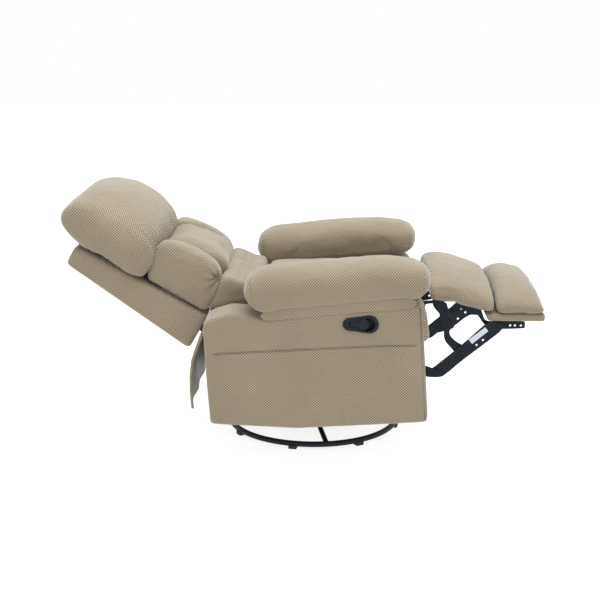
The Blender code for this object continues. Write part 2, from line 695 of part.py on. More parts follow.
# ---------------------------------------------------------------- recliner mechanism
def build_mechanism_plates():
    """The two steel plates bolted inside the arms, which every other link hangs on."""
    rear = panel_rear_y
    outline = [front(0.028, 0.486), front(-0.100, 0.486), Vector((rear - 0.172, 0.466)),
               Vector((rear - 0.100, 0.436)), back_pivot + Vector((0.012, 0.016)),
               back_pivot + Vector((0.020, 0.0)), back_pivot + Vector((0.010, -0.017)),
               Vector((rear - 0.110, 0.385)), front(-0.120, 0.385), front(-0.020, 0.400),
               front(0.026, 0.462)]
    for name, side in SIDES.items():
        holes = [circle(back_pivot, PIN_RADIUS + PIN_CLEARANCE)]
        steel = plate(f"mechanism_plate_{name}", outline, side * plate_x, STRAP_THICKNESS, holes)
        for spot in (front(-0.060, 0.440), Vector((rear - 0.180, 0.425))):
            add_pin(steel, side, spot, plate_x + STRAP_THICKNESS / 2, arm_inner_x - GAP, 0.010)
        rivet_through(steel, side, front_link_pivot, 0, 3)
        rivet_through(steel, side, rear_link_pivot, 0, 1)
        hang(steel, seat_axis, "steel")


def build_footrest_links():
    """Four kinds of link on each side: rear 1, long 2, front 3 and upper 4, by layer inward."""
    rear_ring = strap_outline([rear_link_pivot, front(0.017, 0.268), long_link_tail_pivot],
                              REAR_LINK_HALF_WIDTH)
    long_ring = stamped([(0.030, 0.250), (0.030, 0.233), (0.085, 0.232), (0.1000, 0.2440), (0.1184, 0.2590),
                         (0.1463, 0.286), (0.2456, 0.366), (0.279, 0.3955), (0.279, 0.412), (0.267, 0.4190),
                         (0.2311, 0.4205), (0.1991, 0.3911), (0.1499, 0.3432),
                         (0.0808, 0.2835), (0.0588, 0.2646)])
    front_ring = stamped([(0.003, 0.4880), (0.095, 0.4885), (0.1014, 0.4611),
                          (0.1173, 0.4483), (0.1269, 0.3990), (0.1078, 0.3925),
                          (0.1092, 0.3722), (0.1326, 0.3499), (0.167, 0.333), (0.166, 0.299),
                          (0.141, 0.298), (0.119, 0.3263), (0.0912, 0.3561), (0.0904, 0.387),
                          (0.0812, 0.4166), (0.0757, 0.4369), (0.0640, 0.4790),
                          (0.0310, 0.4780), (0.0200, 0.4660), (0.003, 0.4655)])
    upper_ring = stamped([(0.0395, 0.3944), (0.0399, 0.3762), (0.082, 0.3805),
                          (0.1209, 0.3994), (0.1700, 0.4420), (0.1950, 0.4390), (0.2105, 0.4430),
                          (0.2095, 0.4610), (0.1700, 0.4700), (0.116, 0.444),
                          (0.0916, 0.4235),
                          (0.0634, 0.4084)])
    for name, side in SIDES.items():
        rear_link = link(f"rear_ottoman_link_{name}", side, rear_ring, 1, [rear_link_pivot])
        hang(rear_link, rear_link_axis, "steel")

        long_link = link(f"long_link_{name}", side, long_ring, 2,
                         [long_link_pivot, ottoman_pivot],
                         [front(0.1965, 0.3428), front(0.2166, 0.3593)])
        add_pin(long_link, side, long_link_tail_pivot, layer(2) + STRAP_THICKNESS / 2,
                layer(1) - STRAP_THICKNESS / 2 - OPEN_PIVOT_GAP, PIN_HEAD_RADIUS)
        hang(long_link, long_link_axis, "steel")

        front_link = link(f"front_ottoman_link_{name}", side, front_ring, 3,
                          [front_link_pivot], [front(0.107, 0.425)])
        rivet_through(front_link, side, long_link_pivot, 3, 2)
        rivet_through(front_link, side, upper_link_pivot, 3, 4)
        hang(front_link, front_link_axis, "steel")

        upper_link = link(f"upper_ottoman_link_{name}", side, upper_ring, 4,
                          [upper_link_pivot],
                          [front(0.0780, 0.3960), front(0.1350, 0.4270), front(0.1580, 0.4480)])
        hang(upper_link, upper_link_axis, "steel")

    tube_half = layer(3) - STRAP_THICKNESS / 2 - GAP
    torque = cylinder("torque_tube", (0, PANEL_FRONT_Y - 0.073, 0.466), TORQUE_TUBE_RADIUS,
                      2 * tube_half, "X", segments=16)
    hang(torque, front_link_axis, "steel")


def build_ottoman():
    """Padded board at the chair's front end, carried by a bracket on each side."""
    board_low = 0.4215
    flange_top, flange_low, flange_end = board_low - 0.003, 0.3945, 0.3525
    arm_ring = stamped([(0.1890, 0.4440), (0.1890, 0.4640), (0.2090, 0.4610),
                        (0.2170, 0.4340), (0.2260, 0.4170), (0.2700, flange_top),
                        (flange_end - 0.003, flange_top),
                        (flange_end, flange_top - 0.003), (flange_end, flange_low + 0.003),
                        (flange_end - 0.003, flange_low), (0.2800, 0.3915),
                        (0.2450, 0.3935), (0.2180, 0.4080), (0.2020, 0.4350)])
    flange_holes = [front(0.3049, 0.4040), front(0.3202, 0.4040), front(0.3392, 0.4040)]
    for name, side in SIDES.items():
        bracket = link(f"ottoman_bracket_{name}", side, arm_ring, 5, [], flange_holes)
        add_pin(bracket, side, ottoman_rear_pivot, layer(5) + STRAP_THICKNESS / 2,
                layer(4) - STRAP_THICKNESS / 2 - OPEN_PIVOT_GAP, PIN_HEAD_RADIUS)
        rivet_through(bracket, side, ottoman_pivot, 5, 2)
        inner, outer = layer(5) - 0.018, layer(5)
        low, high = sorted((side * inner, side * outer))
        lip = box(f"ottoman_lip_{name}", (low, PANEL_FRONT_Y - 0.345, board_low - 0.009),
                  (high, PANEL_FRONT_Y - 0.250, board_low - GAP), as_tool=True)
        combine(bracket, lip, "UNION")
        hang(bracket, ottoman_axis, "steel")

    top = board_low + OTTOMAN_BOARD_THICKNESS
    board = plate("ottoman_board",
                  [front(0.232, board_low), front(0.214, top), front(0.416, top + 0.001),
                   front(0.414, board_low)], 0, OTTOMAN_BOARD_WIDTH)
    add_rounding(board, 0.004, 2)
    hang(board, ottoman_axis, "fabric")
    pad_low = top + 0.005
    pad = plate("ottoman_pad",
                [front(0.412, pad_low), front(0.259, pad_low), front(0.259, 0.532),
                 front(0.290, 0.543), front(0.330, 0.543), front(0.375, 0.525),
                 front(0.408, 0.490)], 0, 2 * cushion_half)
    add_rounding(pad, 0.014)
    hang(pad, ottoman_axis, "fabric")


def build_bridge():
    """Padded flap that fills the space between the seat and the ottoman."""
    low = bridge_hinge.y - 0.020
    half = BRIDGE_BOARD_WIDTH / 2
    board = box("bridge_board", (-half, PANEL_FRONT_Y - 0.240, low),
                (half, PANEL_FRONT_Y - 0.060, low + BRIDGE_BOARD_THICKNESS))
    hang(board, bridge_axis, "wood")
    pad_low = low + BRIDGE_BOARD_THICKNESS + GAP
    pad = plate("bridge_pad",
                [front(0.054, pad_low), front(0.054, 0.575), front(0.140, 0.575),
                 front(0.200, 0.560), front(0.245, 0.535), front(0.248, pad_low)], 0,
                2 * cushion_half)
    add_rounding(pad, 0.014)
    hang(pad, bridge_axis, "fabric")


# ---------------------------------------------------------------- back
def on_back(up, out):
    """A side point given along the back from its pivot, and out towards the sitter."""
    along = Vector((math.cos(BACK_LEAN), math.sin(BACK_LEAN)))
    facing = Vector((-along.y, along.x))
    return back_pivot + along * up + facing * out


def build_back():
    """Reclining back: a padded frame on two steel levers, with its pillows."""
    foot = 0.087
    head = foot + BACK_FRAME_LENGTH
    frame = plate("back_frame",
                  [on_back(foot, -0.003), on_back(foot, -0.003 - BACK_FRAME_BOTTOM_THICKNESS),
                   on_back(head, -0.006 - BACK_FRAME_TOP_THICKNESS), on_back(head, -0.012)], 0,
                  2 * cushion_half)
    add_rounding(frame, 0.010, 2)
    hang(frame, back_axis, "fabric")

    lever_ring = strap_outline([back_pivot, on_back(foot - 0.047, -0.025),
                                on_back(foot - 0.015, -0.045)], LEVER_HALF_WIDTH)
    flange_ring = [on_back(foot - 0.004, -0.020), on_back(foot - GAP, -0.020),
                   on_back(foot - GAP, -0.080), on_back(foot - 0.004, -0.080)]
    for name, side in SIDES.items():
        lever = plate(f"back_lever_{name}", lever_ring, side * layer(1), STRAP_THICKNESS)
        rivet_through(lever, side, back_pivot, 1, 0)
        flange = plate(f"lever_flange_{name}", flange_ring,
                       side * (layer(1) - LEVER_FLANGE_WIDTH / 2 + 0.001),
                       LEVER_FLANGE_WIDTH, as_tool=True)
        combine(lever, flange, "UNION")
        hang(lever, back_axis, "steel")

    lumbar = plate("lumbar_pad",
                   [on_back(0.062, 0.0), on_back(0.300, 0.0), on_back(0.322, 0.070),
                    on_back(0.305, 0.125), on_back(0.180, 0.135), on_back(0.066, 0.090)], 0,
                   LUMBAR_WIDTH)
    add_rounding(lumbar, 0.016)
    hang(lumbar, back_axis, "fabric")
    inner = LUMBAR_WIDTH / 2 + WING_GAP
    for name, side in SIDES.items():
        wing = plate(f"wing_bolster_{name}",
                     [on_back(0.092, 0.0), on_back(0.304, 0.0), on_back(0.326, 0.070),
                      on_back(0.326, 0.113), on_back(0.304, 0.145), on_back(0.260, 0.165),
                      on_back(0.193, 0.170), on_back(0.109, 0.142), on_back(0.092, 0.125),
                      on_back(0.078, 0.077)],
                     side * (inner + cushion_half) / 2, cushion_half - inner)
        add_rounding(wing, 0.022)
        hang(wing, back_axis, "fabric")

    pillow = plate("head_pillow",
                   [on_back(0.332, 0.0), on_back(0.590, 0.0), on_back(0.631, 0.030),
                    on_back(0.640, 0.062), on_back(0.618, 0.120), on_back(0.571, 0.159),
                    on_back(0.505, 0.184), on_back(0.421, 0.176), on_back(0.354, 0.148),
                    on_back(0.332, 0.110)], 0, HEAD_PILLOW_WIDTH)
    add_rounding(pillow, 0.030)
    hang(pillow, back_axis, "fabric")


build_base()
build_turntable()
build_swing_links()
build_arms()
build_seat()
build_handle()
build_mechanism_plates()
build_footrest_links()
build_ottoman()
build_bridge()
build_back()

for piece in parts.objects:
    if piece.type == "MESH":
        piece.data.shade_smooth()
        piece.data.set_sharp_from_angle(angle=math.radians(30))
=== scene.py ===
import math

import bmesh
import bpy
import numpy as np
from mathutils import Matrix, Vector, noise
from mathutils.bvhtree import BVHTree
from mathutils.interpolate import poly_3d_calc


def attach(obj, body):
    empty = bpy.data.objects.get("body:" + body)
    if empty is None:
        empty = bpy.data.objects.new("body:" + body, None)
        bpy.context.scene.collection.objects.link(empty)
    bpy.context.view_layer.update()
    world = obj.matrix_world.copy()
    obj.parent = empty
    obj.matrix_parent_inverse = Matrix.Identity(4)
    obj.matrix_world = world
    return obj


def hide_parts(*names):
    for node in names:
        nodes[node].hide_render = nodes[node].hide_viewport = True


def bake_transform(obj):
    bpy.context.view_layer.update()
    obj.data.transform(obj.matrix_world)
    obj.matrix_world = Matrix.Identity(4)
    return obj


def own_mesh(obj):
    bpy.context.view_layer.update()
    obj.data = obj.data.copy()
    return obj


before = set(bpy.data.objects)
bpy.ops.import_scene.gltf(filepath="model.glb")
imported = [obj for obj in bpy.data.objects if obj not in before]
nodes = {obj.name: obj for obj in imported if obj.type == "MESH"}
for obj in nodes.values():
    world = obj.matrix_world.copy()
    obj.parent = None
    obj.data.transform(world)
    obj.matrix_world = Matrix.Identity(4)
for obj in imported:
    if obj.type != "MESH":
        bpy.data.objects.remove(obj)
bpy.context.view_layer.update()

# ---------------------------------------------------------------- camera, floor and lights
# A low, level look at the chair's right-hand side from four metres away, in a white room
# with a big soft light overhead and a floor that glows like a light table.
scene = bpy.context.scene
scene.view_settings.view_transform = "Standard"

camera = bpy.data.objects.new("camera", bpy.data.cameras.new("camera"))
camera.data.lens = 71.4
camera.location = (-3.954, -0.085, 1.4005)
down, turned = math.radians(13.77), math.radians(1.54)
look = Vector((math.cos(down) * math.cos(turned), math.cos(down) * math.sin(turned),
               -math.sin(down)))
camera.rotation_euler = look.to_track_quat("-Z", "Y").to_euler()
scene.collection.objects.link(camera)
scene.camera = camera


def new_material(name, colour, roughness, metallic=0.0, specular=0.5):
    """A Principled material to add a pattern to; gives back its nodes as well."""
    material = bpy.data.materials.new(name)
    material.use_nodes = True
    tree = material.node_tree
    shader = tree.nodes["Principled BSDF"]
    shader.inputs["Base Color"].default_value = (*colour, 1)
    shader.inputs["Roughness"].default_value = roughness
    shader.inputs["Metallic"].default_value = metallic
    shader.inputs["Specular IOR Level"].default_value = specular
    return material, tree, shader


def add_node(tree, kind, inputs=(), **settings):
    """A shader node with its settings, and its inputs joined to sockets or given values."""
    node = tree.nodes.new("ShaderNode" + kind)
    for key, value in settings.items():
        setattr(node, key, value)
    for socket, value in dict(inputs).items():
        if isinstance(value, bpy.types.NodeSocket):
            tree.links.new(value, node.inputs[socket])
        else:
            node.inputs[socket].default_value = value
    return node


def new_mesh(name, shape):
    """A mesh of what a bmesh holds; the bmesh is let go."""
    mesh = bpy.data.meshes.new(name)
    shape.to_mesh(mesh)
    shape.free()
    return mesh


def new_object(name, mesh, material=None):
    """An object at the origin that shows a mesh."""
    obj = bpy.data.objects.new(name, mesh)
    scene.collection.objects.link(obj)
    if material:
        mesh.materials.append(material)
    return obj


floor_paint, tree, shader = new_material("floor_paint", (0.35, 0.35, 0.35), 0.9, specular=0.1)
shader.inputs["Emission Color"].default_value = (1, 1, 1, 1)
shader.inputs["Emission Strength"].default_value = 0.84
grain = add_node(tree, "TexNoise", {"Vector": add_node(tree, "TexCoord").outputs["Object"],
                                    "Scale": 40.0})
tone = add_node(tree, "MapRange", {"Value": grain.outputs[0], "To Min": 0.34, "To Max": 0.36})
tree.links.new(tone.outputs[0], shader.inputs["Base Color"])
shape = bmesh.new()
bmesh.ops.create_grid(shape, x_segments=8, y_segments=8, size=14)
floor = new_object("floor", new_mesh("floor", shape), floor_paint)
floor.location.z = -0.0005

world = bpy.data.worlds.new("white_room")
world.use_nodes = True
world.node_tree.nodes["Background"].inputs["Color"].default_value = (1.0, 1.0, 1.0, 1)
world.node_tree.nodes["Background"].inputs["Strength"].default_value = 1.0
scene.world = world

overhead = bpy.data.objects.new("overhead", bpy.data.lights.new("overhead", "AREA"))
overhead.data.energy = 106
overhead.data.color = (0.93, 0.98, 1.0)
overhead.data.size = 3.0
overhead.location = (-0.3, -0.2, 3.4)
scene.collection.objects.link(overhead)

# ---------------------------------------------------------------- floor ring, spokes and feet
# A round steel tube bent into a ring, and four flattened tubes that rise from it to a pressed
# hub; they are welded together and powder-coated dark slate. Rubber saddles grip the ring.
RING_RADIUS = 0.2866
RING_TUBE_RADIUS = 0.0095
RING_Z = 0.0158
RING_STEPS = 160
SWIVEL_Y = -0.025
SPOKE_TURN = math.radians(-10)


def powder_coat(name, colour, roughness):
    """Baked paint on steel: a little orange peel, and a slightly uneven sheen."""
    material, tree, shader = new_material(name, colour, roughness, specular=0.16)
    where = add_node(tree, "TexCoord").outputs["Object"]
    peel = add_node(tree, "TexNoise", {"Vector": where, "Scale": 700.0, "Detail": 2.0})
    cloudy = add_node(tree, "TexNoise", {"Vector": where, "Scale": 14.0, "Detail": 4.0})
    bump = add_node(tree, "Bump", {"Height": peel.outputs[0], "Strength": 0.12,
                                   "Distance": 0.0006})
    tree.links.new(bump.outputs[0], shader.inputs["Normal"])
    gloss = add_node(tree, "MapRange", {"Value": cloudy.outputs[0],
                                        "To Min": roughness - 0.08, "To Max": roughness + 0.1})
    tree.links.new(gloss.outputs[0], shader.inputs["Roughness"])
    tone = add_node(tree, "Mix", {0: cloudy.outputs[0], 6: (*[c * 0.75 for c in colour], 1),
                                  7: (*[c * 1.3 for c in colour], 1)}, data_type="RGBA")
    tree.links.new(tone.outputs[2], shader.inputs["Base Color"])
    return material


def swept(name, path, wide, high, material, sides=16, closed=False, up=(0, 0, 1)):
    """A bar of oval section along a path; its cloth coordinates are metres round and along."""
    path = [Vector(point) for point in path]
    shape = bmesh.new()
    lay = shape.loops.layers.uv.new("weave")
    rings, run = [], [0.0]
    for k, point in enumerate(path):
        before = path[k - 1] if k or closed else point
        after = path[(k + 1) % len(path)] if k < len(path) - 1 or closed else point
        along = (after - before).normalized()
        side = along.cross(Vector(up)).normalized()
        rise = side.cross(along)
        rings.append([shape.verts.new(point + side * wide * math.cos(a) + rise * high * math.sin(a))
                      for a in (2 * math.pi * j / sides for j in range(sides))])
        run.append(run[-1] + (path[(k + 1) % len(path)] - point).length)
    round_step = 2 * math.pi * (wide + high) / 2 / sides
    for k in range(len(rings) if closed else len(rings) - 1):
        ring, other = rings[k], rings[(k + 1) % len(rings)]
        for j in range(sides):
            face = shape.faces.new((ring[j], ring[(j + 1) % sides], other[(j + 1) % sides],
                                    other[j]))
            for loop, (a, b) in zip(face.loops, ((j, k), (j + 1, k), (j + 1, k + 1), (j, k + 1))):
                loop[lay].uv = (a * round_step, run[b])
    if not closed:
        for ring in (rings[0], rings[-1]):
            shape.faces.new(ring)
    bmesh.ops.recalc_face_normals(shape, faces=shape.faces)
    mesh = new_mesh(name, shape)
    mesh.shade_smooth()
    return new_object(name, mesh, material)


def turned_piece(name, profile, centre, material, steps=64):
    """A round piece turned about the upright line through centre: (radius, z) down its side."""
    shape = bmesh.new()
    line = [shape.verts.new((radius, 0, z)) for radius, z in profile]
    edges = [shape.edges.new(pair) for pair in zip(line, line[1:])]
    bmesh.ops.spin(shape, geom=line + edges, cent=(0, 0, 0), axis=(0, 0, 1),
                   angle=2 * math.pi, steps=steps, use_merge=True)
    bmesh.ops.remove_doubles(shape, verts=shape.verts, dist=0.00002)
    bmesh.ops.recalc_face_normals(shape, faces=shape.faces)
    bmesh.ops.translate(shape, vec=centre, verts=shape.verts)
    mesh = new_mesh(name, shape)
    mesh.shade_smooth()
    mesh.set_sharp_from_angle(angle=math.radians(35))
    return new_object(name, mesh, material)


def joined(name, pieces):
    """Several objects made one."""
    shape = bmesh.new()
    for piece in pieces:
        shape.from_mesh(piece.data)
    mesh = new_mesh(name, shape)
    mesh.materials.append(pieces[0].data.materials[0])
    for piece in pieces:
        bpy.data.objects.remove(piece)
    return new_object(name, mesh)


def around(radius, turn, z):
    """A point at a radius and turn about the swivel's upright line."""
    return Vector((-radius * math.cos(turn), SWIVEL_Y + radius * math.sin(turn), z))


slate_coat = powder_coat("slate_powder_coat", (0.008, 0.013, 0.020), 0.38)
ring = swept("floor_ring", [around(RING_RADIUS, 2 * math.pi * k / RING_STEPS, RING_Z)
                            for k in range(RING_STEPS)],
             RING_TUBE_RADIUS, RING_TUBE_RADIUS, slate_coat, sides=20, closed=True)
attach(ring, "base")
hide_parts("base_ring")

spokes = [turned_piece("hub", [(0, 0.0358), (0.050, 0.0358), (0.0565, 0.0345), (0.0595, 0.0305),
                               (0.0600, 0.0130), (0.0585, 0.0110), (0, 0.0110)],
                       (0, SWIVEL_Y, 0), slate_coat)]
for k in range(4):
    turn = SPOKE_TURN + math.pi / 2 * k
    line = [around(radius, turn, z) for radius, z in
            ((0.279, 0.0160), (0.262, 0.0160), (0.230, 0.0180), (0.160, 0.0226),
             (0.090, 0.0262), (0.040, 0.0272))]
    spokes.append(swept(f"spoke_{k}", line, 0.0088, 0.0058, slate_coat))
    for tilt in (-1, 1):
        bead = [around(0.2795, turn + tilt * 0.034 * math.cos(a), RING_Z + 0.0062 * math.sin(a))
                for a in (math.pi * (j - 4) / 8 for j in range(9))]
        spokes.append(swept(f"weld_{k}_{tilt}", bead, 0.0020, 0.0022, slate_coat, sides=8,
                            up=around(1, turn, 0)))
cross = joined("spokes_and_hub", spokes)
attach(cross, "base")
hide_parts("base_cross")

rubber, tree, shader = new_material("black_rubber", (0.018, 0.018, 0.020), 0.75, specular=0.3)
where = add_node(tree, "TexCoord").outputs["Object"]
dust = add_node(tree, "TexNoise", {"Vector": where, "Scale": 60.0, "Detail": 5.0})
tone = add_node(tree, "Mix", {0: dust.outputs[0], 6: (0.012, 0.012, 0.013, 1),
                              7: (0.035, 0.034, 0.033, 1)}, data_type="RGBA")
tree.links.new(tone.outputs[2], shader.inputs["Base Color"])
rough = add_node(tree, "Bump", {"Height": dust.outputs[0], "Strength": 0.2, "Distance": 0.001})
tree.links.new(rough.outputs[0], shader.inputs["Normal"])


def keep_cad(names, material, edge):
    """Show CAD pieces as they are, in a new material and with their sharp edges broken."""
    for name in names:
        node = nodes[name]
        for holder in node.material_slots:
            holder.material = material
        bevel = node.modifiers.new("broken_edges", "BEVEL")
        bevel.width = edge
        bevel.segments = 2
        bevel.limit_method = "ANGLE"
        bevel.angle_limit = math.radians(35)


keep_cad([f"foot_pad_{k}" for k in range(1, 9)], rubber, 0.0015)

# ---------------------------------------------------------------- swivel and glider
# Two pressed steel discs turn on a bearing about a kingpin, and carry a platform with two
# posts; the seat's rails hang from the posts on four flat swing links with riveted pins.
keep_cad(["swivel_lower_plate", "swivel_bearing", "swivel_upper_plate", "kingpin",
          "glider_platform", "glider_post_left", "glider_post_right",
          "front_swing_link_left", "front_swing_link_right",
          "rear_swing_link_left", "rear_swing_link_right",
          "glide_rail_left", "glide_rail_right"], slate_coat, 0.0005)

# ---------------------------------------------------------------- arm boxes
# Wooden boxes padded with thin foam and covered in a nubby basket-weave cloth. One tuck runs
# along each outer side, piping follows the front corners, the front swells with wadding, and
# a thin stuffed band is sewn on under the arm pillow. The right box has the handle's pocket.
CLOTH_DARK = (0.108, 0.082, 0.049)
CLOTH_LIGHT = (0.408, 0.340, 0.250)
WEAVE_ACROSS = 0.0093
WEAVE_ALONG = 0.0085


def woven_cloth(name, dark, light):
    """Two sets of diagonal ribs that cross, in metres along the piece's own cloth lines."""
    material, tree, shader = new_material(name, light, 0.88, specular=0.25)
    shader.inputs["Sheen Weight"].default_value = 0.4
    shader.inputs["Sheen Roughness"].default_value = 0.45
    shader.inputs["Sheen Tint"].default_value = (0.96, 0.99, 1.0, 1)
    lines = add_node(tree, "UVMap", uv_map="weave").outputs[0]
    where = add_node(tree, "TexCoord").outputs["Object"]
    drift = add_node(tree, "TexNoise", {"Vector": where, "Scale": 9.0, "Detail": 2.0})
    drift = add_node(tree, "VectorMath", {0: drift.outputs["Color"], 1: (0.5, 0.5, 0.5)},
                     operation="SUBTRACT")
    drift = add_node(tree, "VectorMath", {0: drift.outputs[0], "Scale": 0.006},
                     operation="SCALE")
    lines = add_node(tree, "VectorMath", {0: lines, 1: drift.outputs[0]}, operation="ADD")
    ribs = []
    for lean in (1, -1):
        rate = (2 * math.pi / WEAVE_ACROSS, lean * 2 * math.pi / WEAVE_ALONG, 0)
        phase = add_node(tree, "VectorMath", {0: lines.outputs[0], 1: rate},
                         operation="DOT_PRODUCT")
        ribs.append(add_node(tree, "Math", {0: phase.outputs["Value"]}, operation="COSINE"))
    strong = add_node(tree, "Math", {0: ribs[0].outputs[0], 1: 0.30}, operation="MULTIPLY")
    height = add_node(tree, "Math", {0: ribs[1].outputs[0], 1: 0.20, 2: strong.outputs[0]},
                      operation="MULTIPLY_ADD")
    fuzz = add_node(tree, "TexNoise", {"Vector": where, "Scale": 420.0, "Detail": 2.0})
    level = add_node(tree, "MapRange", {"Value": fuzz.outputs[0], "To Min": 0.38,
                                        "To Max": 0.62})
    height = add_node(tree, "Math", {0: height.outputs[0], 1: level.outputs[0]}, operation="ADD")
    tone = add_node(tree, "Mix", {0: height.outputs[0], 6: (*dark, 1), 7: (*light, 1)},
                    data_type="RGBA")
    patch = add_node(tree, "TexNoise", {"Vector": where, "Scale": 5.0, "Detail": 3.0})
    patch = add_node(tree, "MapRange", {"Value": patch.outputs[0], "From Min": 0.3,
                                        "From Max": 0.7, "To Min": 0.93, "To Max": 1.06})
    # Painted shade: the cloth is darkened where press has marked sewn lines, creases and the groove
    # under each arm pillow, standing in for the shade that falls there; random patches of tone are
    # multiplied in as well.
    painted_seam_shade = add_node(tree, "Attribute", attribute_name="seam_shade")
    shade = add_node(tree, "MapRange", {"Value": painted_seam_shade.outputs["Fac"], "To Min": 1.0,
                                        "To Max": 0.42})
    shade = add_node(tree, "Math", {0: shade.outputs[0], 1: patch.outputs[0]},
                     operation="MULTIPLY")
    tone = add_node(tree, "VectorMath", {0: tone.outputs[2], "Scale": shade.outputs[0]},
                    operation="SCALE")
    tree.links.new(tone.outputs[0], shader.inputs["Base Color"])
    bump = add_node(tree, "Bump", {"Height": height.outputs[0], "Strength": 0.45,
                                   "Distance": 0.0016})
    tree.links.new(bump.outputs[0], shader.inputs["Normal"])
    return material


def run_along(points):
    """How far along a line each of its points lies."""
    return np.r_[0, np.cumsum(np.linalg.norm(np.diff(points, axis=0), axis=1))]


def outline(points, spacing, rounding):
    """An evenly stepped closed line through side points, with its corners rounded."""
    corners = np.array([*points, points[0]], float)
    run = run_along(corners)
    count = int(run[-1] / spacing)
    at = np.linspace(0, run[-1], count, endpoint=False)
    loop = np.stack([np.interp(at, run, corners[:, k]) for k in (0, 1)], axis=1)
    rate = np.fft.fftfreq(count, run[-1] / count)
    softness = np.exp(-2 * (math.pi * rate * rounding) ** 2)
    loop = np.real(np.fft.ifft(np.fft.fft(loop, axis=0) * softness[:, None], axis=0))
    area = np.sum(loop[:, 0] * np.roll(loop[:, 1], -1) - np.roll(loop[:, 0], -1) * loop[:, 1])
    return loop if area > 0 else loop[::-1]


def drawn_in(loop, distance):
    """The same closed line, moved inward."""
    ahead = np.roll(loop, -1, axis=0) - np.roll(loop, 1, axis=0)
    outward = np.stack([ahead[:, 1], -ahead[:, 0]], axis=1)
    return loop - outward / np.linalg.norm(outward, axis=1)[:, None] * distance


def rounded_ends(low, high, radius, spacing=0.01, steps=7):
    """Places across a piece, each with how far its outline is drawn in there."""
    angles = [math.pi / 2 * k / steps for k in range(steps)]
    start = [(low + radius * (1 - math.cos(a)), radius * (1 - math.sin(a))) for a in angles]
    count = max(int((high - low - 2 * radius) / spacing), 1)
    middle = [(low + radius + (high - low - 2 * radius) * k / count, 0.0)
              for k in range(count + 1)]
    return start + middle + [(low + high - x, inset) for x, inset in start[::-1]]


def across(loops):
    """Rings across the chair from (x, side outline) pairs."""
    return [np.c_[np.full(len(loop), x), loop] for x, loop in loops]


def points_of(mesh):
    """A mesh's points as an array."""
    flat = np.empty(len(mesh.vertices) * 3)
    mesh.vertices.foreach_get("co", flat)
    return flat.reshape(-1, 3)


def move_points(mesh, points):
    """Give a mesh's points new places."""
    mesh.vertices.foreach_set("co", points.ravel())
    mesh.update()


def push_out(mesh, points, push):
    """Move each point of a mesh along its normal by its own push."""
    normals = np.empty(len(points) * 3)
    mesh.vertex_normals.foreach_get("vector", normals)
    move_points(mesh, points + normals.reshape(-1, 3) * push[:, None])


def settle(obj):
    """Make what an object's modifiers show its own mesh."""
    graph = bpy.context.evaluated_depsgraph_get()
    mesh = bpy.data.meshes.new_from_object(obj.evaluated_get(graph))
    obj.modifiers.clear()
    obj.data = mesh


def smoothed(mesh, rounds):
    """Even out a remeshed surface."""
    shape = bmesh.new()
    shape.from_mesh(mesh)
    for _ in range(rounds):
        bmesh.ops.smooth_vert(shape, verts=shape.verts, factor=0.5, use_axis_x=True,
                              use_axis_y=True, use_axis_z=True)
    shape.to_mesh(mesh)
    shape.free()


STUFFING_PRESSURE = 4.0
STUFFING_STEPS = 20


def swell(obj, cap):
    """Fill a closed cloth piece as its stuffing would; no point moves further than cap."""
    before = points_of(obj.data)
    cloth = obj.modifiers.new("stuffing", "CLOTH")
    cloth.settings.use_pressure = True
    cloth.settings.uniform_pressure_force = STUFFING_PRESSURE
    cloth.settings.effector_weights.gravity = 0
    for step in range(STUFFING_STEPS):
        scene.frame_set(step + 1)
    filled = obj.evaluated_get(bpy.context.evaluated_depsgraph_get())
    moved = points_of(filled.data) - before
    obj.modifiers.clear()
    scene.frame_set(1)
    length = np.maximum(np.linalg.norm(moved, axis=1), 1e-9)
    move_points(obj.data, before + moved * (cap * np.tanh(length / cap) / length)[:, None])


